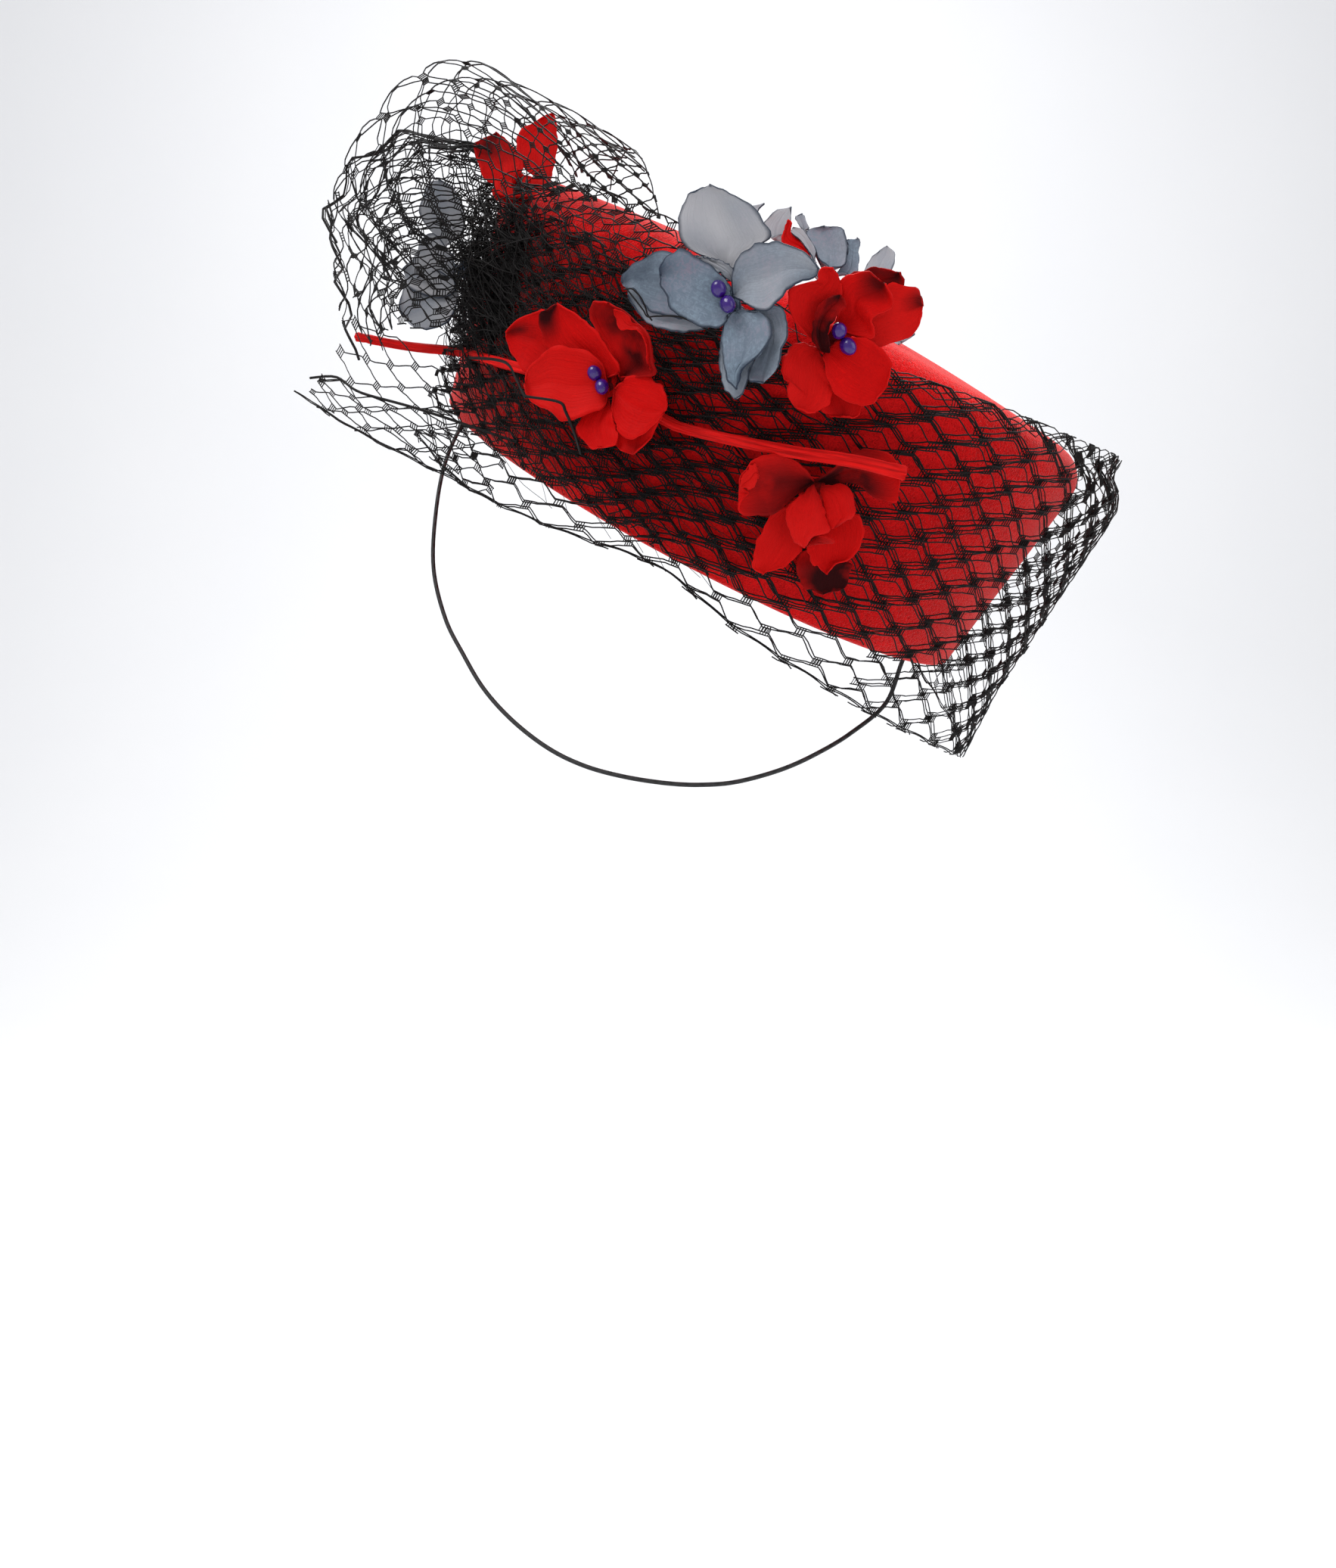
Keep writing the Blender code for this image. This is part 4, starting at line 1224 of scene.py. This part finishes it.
def even_line(points, count):
    """Points evenly spaced along the smooth line through these, in metres."""
    fine = 14 * (len(points) - 1)
    spots = [Vector(between(points, step / fine)) / 1000 for step in range(fine + 1)]
    run = [0.0]
    for here, there in zip(spots, spots[1:]):
        run.append(run[-1] + (there - here).length)
    line = []
    for step in range(count + 1):
        along = run[-1] * step / count
        first = min(max(bisect.bisect_right(run, along) - 1, 0), fine - 1)
        part = (along - run[first]) / max(run[first + 1] - run[first], 1e-9)
        line.append(spots[first].lerp(spots[first + 1], part))
    return line


def over_heart(name, x, y, height):
    """The point at this pixel and this high over a flower's heart, in millimetres in its frame."""
    to_flower = (TILT @ flower_frame(name)).inverted()
    start = to_flower @ Vector(CAMERA_PLACE) * 1000
    way = to_flower.to_3x3() @ sight(x, y)
    return start + way * ((height - start.z) / way.z)


def leaning(name, x, y, nearer):
    """The point at this pixel on the plane that leans back, in millimetres in its frame."""
    frame_of = TILT @ flower_frame(name)
    heart = (frame_of.translation - Vector(CAMERA_PLACE)) * 1000
    lean = math.tan(math.radians(LEANS[name]))
    depth = (heart.y - nearer - heart.z * lean) / (1 - sight(x, y).z * lean)
    return frame_of.inverted() @ (Vector(CAMERA_PLACE) + sight(x, y) * depth / 1000) * 1000


def traced(name, view, depth, point, share, edge):
    """A given point of a petal, this share of the way along an edge, in the flower's frame."""
    left, top, enlarged = VIEWS[view]
    x = left + point[0] / enlarged
    y = top + point[1] / enlarged
    if name in LEANS:
        return tenths(leaning(name, x, y, depth))
    claw, tip, *rises = depth
    height = claw + (tip - claw) * share**0.8
    height += rises[edge] * math.sin(math.pi * min(1.15 * share, 1.0))
    return tenths(over_heart(name, x, y, height))


def petal_edges(name, view, depth, claw, one, tip, two):
    """A petal's two edges, each from its claw to its tip."""
    edges = []
    for edge, picked in enumerate((one, two)):
        points = (claw, *picked, tip)
        edges.append([
            traced(name, view, depth, point, step / (len(points) - 1), edge)
            for step, point in enumerate(points)
        ])
    return edges


def add_petal(bm, name, row, seed):
    """One petal between its two edges: a veined blade, hollowed, and waved at its rim."""
    cup, ruffle, dark_dye_and_painted_shade, fade, *places = row
    dark_along, dark_across, dark_reach, darkness = dark_dye_and_painted_shade
    root = (CLAW_ROOT,) if name in CLAWED else ()
    along, across = 32, 20
    uv = bm.loops.layers.uv.verify()
    dye_and_painted_light = bm.verts.layers.float_color.get("dye_and_painted_light") or bm.verts.layers.float_color.new("dye_and_painted_light")
    made = bmesh.ops.create_grid(bm, x_segments=along, y_segments=across, size=0.5)["verts"]
    lines = [even_line((*root, *edge), along) for edge in petal_edges(name, *places)]
    draw = random.Random(seed)
    phase = draw.uniform(0, 6)
    waves = draw.uniform(2.5, 4.0)
    where = {}
    for vert in made:
        step = round((vert.co.x + 0.5) * along)
        share = step / along
        side = vert.co.y + 0.5
        where[vert] = (share, side)
        rim = abs(2 * side - 1)
        spread = side + 0.04 * noise.noise(Vector((share * 3, side * 3, phase))) * (1 - rim**4)
        place = lines[0][step].lerp(lines[1][step], spread)
        hollow = 4 * side * (1 - side) * math.sin(math.pi * min(0.06 + 0.94 * share, 1.0)) ** 0.6
        up = -cup * hollow
        wave = math.sin(waves * math.pi * share + phase + 2.5 * side)
        wave += 0.6 * math.sin(6.7 * math.pi * share + 2 * phase - 2 * side)
        up += ruffle * wave * rim**2 * min(1.0, 3 * share) * 0.7
        up -= 0.25 * math.exp(-(((side - 0.5) / 0.05) ** 2)) * share * (1 - share) * 4
        up += 0.35 * noise.noise(Vector((share * 3, side * 3, phase + 9))) * hollow
        ragged = noise.noise_vector(Vector((share * 13, side * 9, phase + 2))) * 0.00050 * rim**6
        vert.co = place + Vector((ragged.x, ragged.y, up / 1000))
        # Darker towards the heart and in the listed patch: partly silk dyed dark, partly painted
        # shade where the petals crowd and turn from the light.
        heart = max(0.0, 1 - share / 0.28) ** 1.6
        patch = noise.noise(Vector((share * 2.4, side * 2.4, phase + 4)))
        apart = math.hypot(share - dark_along, 0.8 * (side - dark_across))
        spot = darkness * min(1.0, max(0.0, 1.35 - apart / max(dark_reach, 0.01) + 0.5 * patch))
        # The outermost rows at the sides and tip take the painted edge light: painted shade on blue
        # petals, a faint painted highlight on red.
        edge = max(0.0, (max(rim, 2 * share - 1) - 0.95) / 0.05)
        vert[dye_and_painted_light] = (
            min(1.0, 0.45 * heart + spot),
            min(1.0, max(0.0, fade * (0.9 + 0.5 * patch))),
            edge,
            1.0,
        )
    for face in {face for vert in made for face in vert.link_faces}:
        for loop in face.loops:
            share, side = where[loop.vert]
            loop[uv].uv = (share + seed * 0.37, side + seed)
    bmesh.ops.transform(bm, matrix=flower_frame(name), verts=made)
    keep_above(made)
    bmesh.ops.remove_doubles(bm, verts=made, dist=1e-6)


def keep_above(verts):
    """Lifts what would come through the top of the crown, so that it ends within the felt."""
    for vert in verts:
        angle = math.atan2(vert.co.y, vert.co.x)
        flat = wall_radius(angle, STRAIGHT_WALL) - EDGE_RADIUS
        share = math.hypot(vert.co.x, vert.co.y) / flat
        if share < 1:
            top = STRAIGHT_WALL + EDGE_RADIUS + CROWN_DOME * (1 - share**2)
            vert.co.z = max(vert.co.z, top - FELT / 2)


def flower(name, silk, seed):
    """The petals of one flower, each a thin leaf of silk, and the small heart that holds them."""
    bm = bmesh.new()
    for count, petal_row in enumerate(PETALS[name]):
        add_petal(bm, name, petal_row, seed + count)
    obj = add_piece(name + "_silk", bm)
    wall = obj.modifiers.new("silk", "SOLIDIFY")
    wall.thickness = SILK
    wall.offset = 0.0
    wall.use_rim = True
    dress(obj, silk, FLOWERS[name][0], name)
    heart = bmesh.new()
    bmesh.ops.create_uvsphere(heart, u_segments=40, v_segments=20, radius=1.0)
    dye_and_painted_light = heart.verts.layers.float_color.new("dye_and_painted_light")
    # The heart is darkened nearly all the way: partly silk dyed dark, partly painted shade under
    # the petals.
    for vert in heart.verts:
        vert[dye_and_painted_light] = (0.9, 0.0, 0.0, 1.0)
        vert.co *= 1 + 0.07 * math.cos(5 * math.atan2(vert.co.y, vert.co.x))
    bmesh.ops.scale(
        heart, vec=(0.9 * HUB_RADIUS, 0.9 * HUB_RADIUS, 0.7 * HUB_HEIGHT), verts=heart.verts
    )
    bmesh.ops.translate(heart, vec=(0, 0, -0.4 * HUB_HEIGHT), verts=heart.verts)
    obj = add_piece(name + "_heart", heart, TILT @ flower_frame(name))
    dress(obj, silk, FLOWERS[name][0], name)
    if FLOWERS[name][4] > 0:
        shank(name, silk)


def shank(name, silk):
    """The twisted stalk by which a flower is sewn to the felt, opening out behind its petals."""
    angle, height, stand_off = FLOWERS[name][2:5]
    count = 24
    points = [
        on_felt(angle, height, 0.0002 + stand_off * step / count) for step in range(count + 1)
    ]

    def section(share, turn):
        radius = SHANK_RADIUS + (HUB_RADIUS - SHANK_RADIUS) * 0.8 * share**3
        radius *= 1 + 0.12 * math.cos(4 * turn + 5 * share)
        return radius * math.cos(turn), radius * math.sin(turn)

    bm = bmesh.new()
    sweep(bm, points, section, 28)
    dress(add_piece(name + "_shank", bm), silk, FLOWERS[name][0], name)


def beads(name, glass):
    """The pair of drop-shaped stamens on their wires, on a flower's heart."""
    bm = bmesh.new()
    spread = (BEAD_DIAMETER + 0.0003) / 2
    height = HUB_HEIGHT + 0.0003 + BEAD_DIAMETER / 2
    for side in (-1, 1):
        made = bmesh.ops.create_uvsphere(bm, u_segments=32, v_segments=20, radius=BEAD_DIAMETER / 2)
        for vert in made["verts"]:
            neck = max(0.0, -2 * vert.co.z / BEAD_DIAMETER) ** 3
            vert.co.x *= 1 - 0.35 * neck
            vert.co.y *= 1 - 0.35 * neck
            vert.co.z *= 1.15 if side < 0 else 1.35
        lean = Matrix.Rotation(math.radians(50 * side), 4, "Y")
        place = Matrix.Rotation(math.radians(-30), 4, "Z") @ Matrix.Translation(
            (side * spread, 0, height)
        )
        bmesh.ops.transform(bm, matrix=place @ lean, verts=made["verts"])
        tip = Matrix.Rotation(math.radians(-30), 4, "Z") @ Vector((side * spread, 0, height))
        wire = bmesh.ops.create_cone(
            bm, cap_ends=True, segments=12, radius1=0.0003, radius2=0.0004, depth=tip.length
        )["verts"]
        bmesh.ops.translate(bm, vec=(0, 0, tip.length / 2), verts=wire)
        turn = tip.to_track_quat("Z", "Y").to_matrix().to_4x4()
        bmesh.ops.transform(bm, matrix=turn, verts=wire)
    short = name[len("flower_"):]
    obj = add_piece(f"beads_{short}", bm, TILT @ flower_frame(name))
    dress(obj, glass, "violet_bead", f"bead_{short}_1", f"bead_{short}_2")


def stem(name, ribbon):
    """A strip of silk folded lengthways round a wire, with a loose raw end."""
    rows = STEMS[name]
    points = []
    count = 90
    for step in range(count + 1):
        angle, height, off, _ = between(rows, step / count)
        points.append(on_felt(angle, height, off * STEM_DIAMETER))

    def section(share, turn):
        radius = between(rows, share)[3] * STEM_DIAMETER / 2
        folds = 0.13 * math.cos(3 * turn + 2.2 * share) + 0.08 * math.cos(7 * turn - 4 * share)
        end = max(0.0, (share - 0.9) / 0.1)
        rough = (0.05 + 0.3 * end) * noise.noise(
            Vector((share * 30, math.cos(turn) * 2, math.sin(turn) * 2))
        )
        radius *= 0.98 + folds + rough
        return radius * math.cos(turn), radius * 0.86 * math.sin(turn)

    bm = bmesh.new()
    sweep(bm, points, section, 44)
    dress(add_piece(name + "_ribbon", bm), ribbon, "red_ribbon", name)


def elastic():
    """The cord that holds the hat on: it hangs from inside the rim on one side to the other."""
    steps = 8
    count = steps * (len(CORD_ROUTE) - 1)
    points = [Vector(between(CORD_ROUTE, step / count)) for step in range(count + 1)]
    radius = CORD_DIAMETER / 2

    def section(share, turn):
        return radius * math.cos(turn), radius * math.sin(turn)

    bm = bmesh.new()
    sweep(bm, points, section, 16)
    obj = add_piece("elastic_braid", bm, Matrix.Identity(4))
    dress(obj, elastic_material(), "black_elastic", "elastic_cord")
    length = sum((there - here).length for here, there in zip(points, points[1:]))
    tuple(CORD_ROUTE[0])
    [tuple(point) for point in points]


# Studio


def camera():
    data = bpy.data.cameras.new("camera")
    data.lens = LENS
    data.sensor_width = 36
    data.clip_start = 0.01
    data.clip_end = 20
    obj = add_object("camera", data)
    obj.location = CAMERA_PLACE
    obj.rotation_euler = (math.radians(90), 0, 0)
    bpy.context.scene.camera = obj


def area_light(name, place, size, power, colour, aim):
    data = bpy.data.lights.new(name, "AREA")
    data.size = size
    data.energy = power
    data.color = colour
    obj = add_object(name, data)
    obj.location = place
    obj.rotation_euler = (Vector(aim) - Vector(place)).to_track_quat("-Z", "Y").to_euler()


def studio():
    """A pale seamless sweep far under and behind the hat, lit softly from above."""
    bm = bmesh.new()
    bmesh.ops.create_grid(bm, x_segments=24, y_segments=48, size=1.0)
    for vert in bm.verts:
        depth = 2.4 * vert.co.y
        bend = max(0.0, depth - 0.8)
        vert.co = (4.5 * vert.co.x, depth + 0.3 if bend == 0 else 1.1 + math.sin(
            min(bend, 1.2) / 1.2 * math.pi / 2) * 0.9, -0.42 + bend**2 * 0.9)
    obj = add_piece("backdrop", bm, Matrix.Identity(4))
    obj.data.materials.append(paper_material())
    obj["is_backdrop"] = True
    for row in LIGHTS:
        area_light(*row)
    world = bpy.data.worlds.new("daylight")
    world.use_nodes = True
    sky = world.node_tree.nodes["Background"].inputs
    sky["Color"].default_value, sky["Strength"].default_value = DAYLIGHT
    bpy.context.scene.world = world
    bpy.context.scene.view_settings.view_transform = "Standard"


def build():
    camera()
    elastic()
    dress(crown_felt(), felt_material(), "red_felt", "hat_shell")
    # Silk colours in order: cloth, veins, the darkest colour (partly dyed dark, partly painted
    # shade), the faded colour, the edge colour (painted shade on the blue, a faint pinker painted
    # highlight on the red), the tint and the flecks.
    silks = {
        "red_silk": silk_material(
            "red_silk",
            (0.54, 0.0026, 0.0022, 1),
            (0.32, 0.0012, 0.0012, 1),
            (0.022, 0.0010, 0.0015, 1),
            (0.66, 0.016, 0.013, 1),
            (0.52, 0.0045, 0.0038, 1),
            (0.40, 0.0016, 0.0016, 1),
            (0.46, 0.0020, 0.0018, 1),
        ),
        "blue_silk": silk_material(
            "blue_silk",
            (0.165, 0.225, 0.285, 1),
            (0.115, 0.160, 0.205, 1),
            (0.020, 0.030, 0.052, 1),
            (0.400, 0.395, 0.415, 1),
            (0.040, 0.050, 0.070, 1),
            (0.175, 0.160, 0.215, 1),
            (0.115, 0.155, 0.205, 1),
        ),
    }
    glass = bead_material()
    for count, (name, row) in enumerate(FLOWERS.items()):
        flower(name, silks[row[0]], 20 * count + 1)
        if row[1]:
            beads(name, glass)
    ribbon = ribbon_material()
    for name in STEMS:
        stem(name, ribbon)
    veil()
    studio()


build()
boxes = {
    name: [list(corner) for corner in box]
    for name, box in (("cad", CAD_BOX), ("visual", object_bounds()))
}
